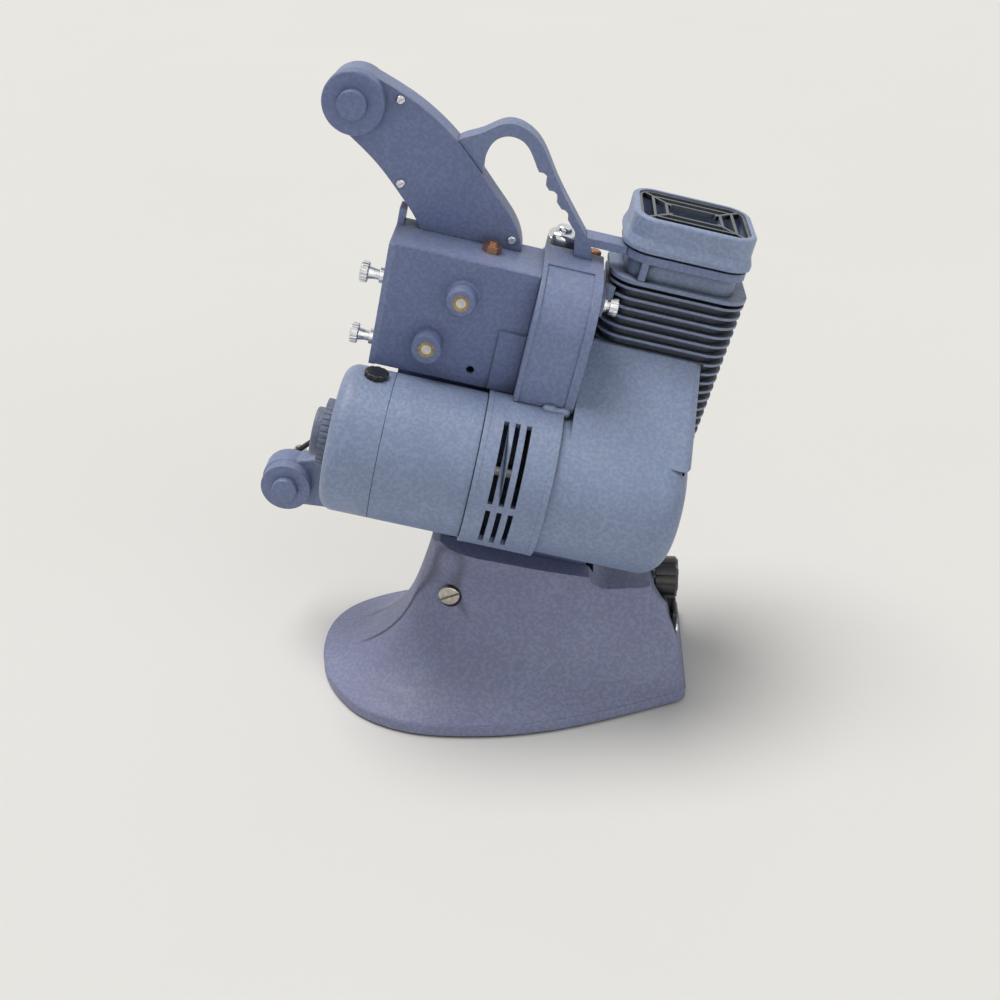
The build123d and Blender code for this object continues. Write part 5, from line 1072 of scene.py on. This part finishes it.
@dataclass
class Lamphouse:
    """Finned lamphouse, its cap and grille, the lamp and the condensers."""

    lamp_back: float = 0.074
    lamp_across: float = OPTIC_ACROSS
    collar_foot: float = 0.0621
    collar_top: float = 0.0926
    bulb_radius: float = 0.0124
    bulb_shoulder: float = 0.158
    bulb_wall: float = 0.0007
    filament_foot: float = 0.1325
    filament_height: float = 0.012
    coil_gap: float = 0.0026
    coil_radius: float = 0.0008
    coil_wire: float = 0.00016
    coils: int = 4
    coil_points: int = 80
    points_per_turn: int = 8
    rod_reach: float = 0.0058
    rod_bend: float = 0.0046
    rod_radius: float = 0.0005

    def dress(self) -> None:
        """Finishes of the lamphouse and its fittings."""
        dress(HOUSE_PAINT, "lamphouse")
        dress(CAP_PAINT, "lamphouse_cap")
        dress(GRILLE_ENAMEL, "lamphouse_grille")
        dress(STEATITE, "lamp_socket")
        dress(BLACK_ENAMEL, "condenser_tube")
        dress(LENS_GLASS, "condenser_lenses")

    def build(self) -> None:
        """Makes the lamp: its bulb, its pressed collar, and the filament on its supports."""
        foot = head_point(self.lamp_back, self.lamp_across, 0.0)
        up = HeadAxis.UP.vector
        shape = bmesh.new()
        revolve(shape, self.bulb(), foot, up)
        settle("lamp_bulb", shape, LAMP_GLASS, Seat("head", "glass", ("projection_lamp",)), 60.0)
        shape = bmesh.new()
        revolve(shape, self.collar(), foot, up)
        settle("lamp_collar", shape, COLLAR_BRASS, Seat("head", "brass"))
        shape = bmesh.new()
        for line, radius in self.wires(foot):
            sweep(shape, line, radius, 6, False)
        settle("lamp_filament", shape, TUNGSTEN, Seat("head", "steel"), 60.0)

    def collar(self) -> list[tuple[float, float]]:
        """Half profile of the pressed collar: its contact, its skirt with a groove, and its rolled top.

        Returns:
            Height and radius of each point.
        """
        low, top = self.collar_foot, self.collar_top
        return [(low, 0.0), (low, 0.0060), (low + 0.0030, 0.0064), (low + 0.0034, 0.0097),
                (low + 0.0165, 0.0097), (low + 0.0170, 0.0088), (low + 0.0210, 0.0088),
                (low + 0.0215, 0.0099), (top - 0.0010, 0.0099), (top, 0.0091), (top, 0.0)]

    def bulb(self) -> list[tuple[float, float]]:
        """Half profile of the bulb's wall, up its outside and down its inside.

        Returns:
            Height and radius of each point.
        """
        outside = [(self.collar_top - 0.0006, 0.0088), (self.collar_top + 0.0012, 0.0104),
                   (self.collar_top + 0.0046, self.bulb_radius)]
        turns = [math.radians(10 * step) for step in range(10)]
        outside += [(self.bulb_shoulder + self.bulb_radius * math.sin(t), self.bulb_radius * math.cos(t))
                    for t in turns]
        outside[-1] = (outside[-1][0], 0.0)
        inner = self.bulb_radius - self.bulb_wall
        inside = [(self.bulb_shoulder + inner * math.sin(t), inner * math.cos(t)) for t in reversed(turns)]
        inside[0] = (inside[0][0], 0.0)
        inside += [(self.collar_top + 0.0048, inner), (self.collar_top + 0.0014, 0.0097),
                   (self.collar_top - 0.0006, 0.0081)]
        return outside + inside + outside[:1]

    def wires(self, foot: Vector) -> list[tuple[list[Vector], float]]:
        """Lines and radii of the coiled filament and of the rods that hold it.

        Args:
            foot: Point under the lamp on its axis.

        Returns:
            One line and its wire's radius for each wire.
        """
        across, back, up = (axis.vector for axis in (HeadAxis.ACROSS, HeadAxis.BACK, HeadAxis.UP))
        made = []
        for column in range(self.coils):
            middle = foot + (column - (self.coils - 1) / 2) * self.coil_gap * across
            coil = []
            for step in range(self.coil_points + 1):
                turn = 2 * math.pi * step / self.points_per_turn
                rise = self.filament_foot + self.filament_height * step / self.coil_points
                out = math.cos(turn) * across + math.sin(turn) * back
                coil.append(middle + rise * up + self.coil_radius * out)
            made.append((coil, self.coil_wire))
        top = self.filament_foot + self.filament_height
        for turn in (-1.0, 1.0):
            rod = foot + turn * self.rod_reach * across
            bend = foot + turn * self.rod_bend * across
            line = [rod + (self.collar_top - 0.001) * up, rod + self.filament_foot * up,
                    rod + (top + 0.002) * up, bend + (top + 0.003) * up]
            made.append((line, self.rod_radius))
        return made


@dataclass
class FilmDrive:
    """Gears, sprockets, shutter, gate, claw and guards."""

    belt: RoundBelt = field(default_factory=lambda: RoundBelt(
        "takeup_belt_round", "takeup_belt", start=head_point(-0.097, 0.029, 0.020), start_radius=0.007,
        end=head_point(-0.013, 0.029, 0.115), end_radius=0.007, square=HeadAxis.ACROSS))

    def dress(self) -> None:
        """Finishes of the film path."""
        dress(FILM_SHAFT, "upper_gear_shaft", "middle_gear_shaft", "lower_gear_shaft")
        dress(STEEL, "shutter_shaft", "claw")
        dress(BLACK_ENAMEL, "shutter", "film_gate")
        dress(CHROME, "pressure_gate", "upper_film_guard", "lower_film_guard")

    def build(self) -> None:
        """Makes the take-up belt."""
        self.belt.build()


@dataclass
class Optics:
    """Lens barrel in its holder, with two ground elements."""

    elements: tuple[LensElement, ...] = field(default_factory=lambda: (
        LensElement(head_point(-0.0610, OPTIC_ACROSS, OPTIC_UP), radius=0.0072, rim=0.0016,
                    front_bulge=0.0014, rear_bulge=0.0009),
        LensElement(head_point(-0.0260, OPTIC_ACROSS, OPTIC_UP), radius=0.0072, rim=0.0012,
                    front_bulge=0.0008, rear_bulge=0.0009)))

    def dress(self) -> None:
        """Finishes of the holder and the barrel."""
        dress(CASTING, "lens_holder")
        dress(ALUMINIUM, "lens_barrel")

    def build(self) -> None:
        """Grinds the two elements."""
        shape = bmesh.new()
        for element in self.elements:
            element.draw(shape)
        settle("lens_elements", shape, LENS_GLASS, Seat("lens", "glass", ("lens_glass",)), 60.0)


@dataclass
class Studio:
    """Pale floor, soft lights and the camera of the photograph."""

    camera_place: tuple[float, float, float] = (0.0315, -0.5481, 0.4322)
    yaw: float = 3.43
    pitch: float = 31.42
    roll: float = 0.21
    focal_pixels: float = 1230.8
    frame_pixels: float = 1000.0
    floor_colour: Colour = (0.74, 0.73, 0.71)
    sky_colour: Colour = (0.87, 0.865, 0.845)
    sky_level: float = 0.34

    def build(self) -> None:
        """Sets the whole stage."""
        self.camera()
        self.floor()
        self.sky()
        self.light("ceiling light", (-0.3, 0.12, 1.0), 34.0, 2.3, (1.0, 0.985, 0.96))
        self.light("fill light", (0.55, -0.9, 0.6), 70.0, 0.62, (0.96, 0.98, 1.0))
        bpy.context.scene.view_settings.view_transform = "Standard"

    def camera(self) -> None:
        """Camera at the photograph's place and angle."""
        yaw, pitch, roll = (math.radians(angle) for angle in (self.yaw, self.pitch, self.roll))
        ahead = Vector((-math.sin(yaw) * math.cos(pitch), math.cos(yaw) * math.cos(pitch), -math.sin(pitch)))
        right = Vector((math.cos(yaw), math.sin(yaw), 0.0))
        up = right.cross(ahead)
        x = math.cos(roll) * right + math.sin(roll) * up
        y = -math.sin(roll) * right + math.cos(roll) * up
        data = bpy.data.cameras.new("camera")
        data.sensor_width = 36.0
        data.lens = self.focal_pixels / self.frame_pixels * data.sensor_width
        camera = bpy.data.objects.new("camera", data)
        turn = Matrix((x, y, -ahead)).transposed().to_4x4()
        camera.matrix_world = Matrix.Translation(self.camera_place) @ turn
        bpy.context.scene.collection.objects.link(camera)
        bpy.context.scene.camera = camera

    def floor(self) -> None:
        """Wide pale floor with a faint unevenness."""
        shape = bmesh.new()
        bmesh.ops.create_grid(shape, x_segments=1, y_segments=1, size=6.0)
        mesh = bpy.data.meshes.new("floor")
        shape.to_mesh(mesh)
        shape.free()
        floor = bpy.data.objects.new("floor", mesh)
        bpy.context.scene.collection.objects.link(floor)
        material = bpy.data.materials.new("pale floor")
        material.use_nodes = True
        graph = Graph(material.node_tree)
        shader = material.node_tree.nodes["Principled BSDF"]
        shade = tuple(0.96 * part for part in self.floor_colour)
        tone = graph.mix(graph.noise(3.0, 3.0), self.floor_colour, shade)
        graph.feed(shader.inputs["Base Color"], tone)
        shader.inputs["Roughness"].default_value = 0.8
        mesh.materials.append(material)

    def sky(self) -> None:
        """Even light from all round, which the camera, metal and glass see as a pale wall."""
        world = bpy.context.scene.world or bpy.data.worlds.new("studio")
        bpy.context.scene.world = world
        world.use_nodes = True
        graph = Graph(world.node_tree)
        background = next(node for node in world.node_tree.nodes if node.type == "BACKGROUND")
        path = graph.node("LightPath")
        mirrored = graph.math("MAXIMUM", path.outputs["Is Glossy Ray"], path.outputs["Is Transmission Ray"])
        seen = graph.math("MAXIMUM", path.outputs["Is Camera Ray"], mirrored)
        graph.feed(background.inputs["Color"], self.sky_colour)
        graph.feed(background.inputs["Strength"], graph.between(seen, self.sky_level, 0.9))

    @staticmethod
    def light(name: str, towards: tuple[float, float, float], spread: float, level: float,
              tint: Colour) -> None:
        """Broad even light from far away.

        Args:
            name: Name of the light.
            towards: Direction in which it hangs.
            spread: Its width in the sky in degrees, which softens its shadows.
            level: Watts per square metre.
            tint: Its colour.
        """
        data = bpy.data.lights.new(name, "SUN")
        data.angle, data.energy, data.color = math.radians(spread), level, tint
        light = bpy.data.objects.new(name, data)
        light.rotation_euler = (-Vector(towards)).to_track_quat("-Z", "Y").to_euler()
        bpy.context.scene.collection.objects.link(light)


def main() -> None:
    """Builds and dresses the projector, then the studio round it."""
    logging.basicConfig(level=logging.INFO, format="%(name)s: %(message)s")
    Studio().build()
    for assembly in (Stand(), Head(), Motor(), Lamphouse(), FilmDrive(), Optics()):
        assembly.dress()
        assembly.build()


if __name__ == "__main__":
    main()
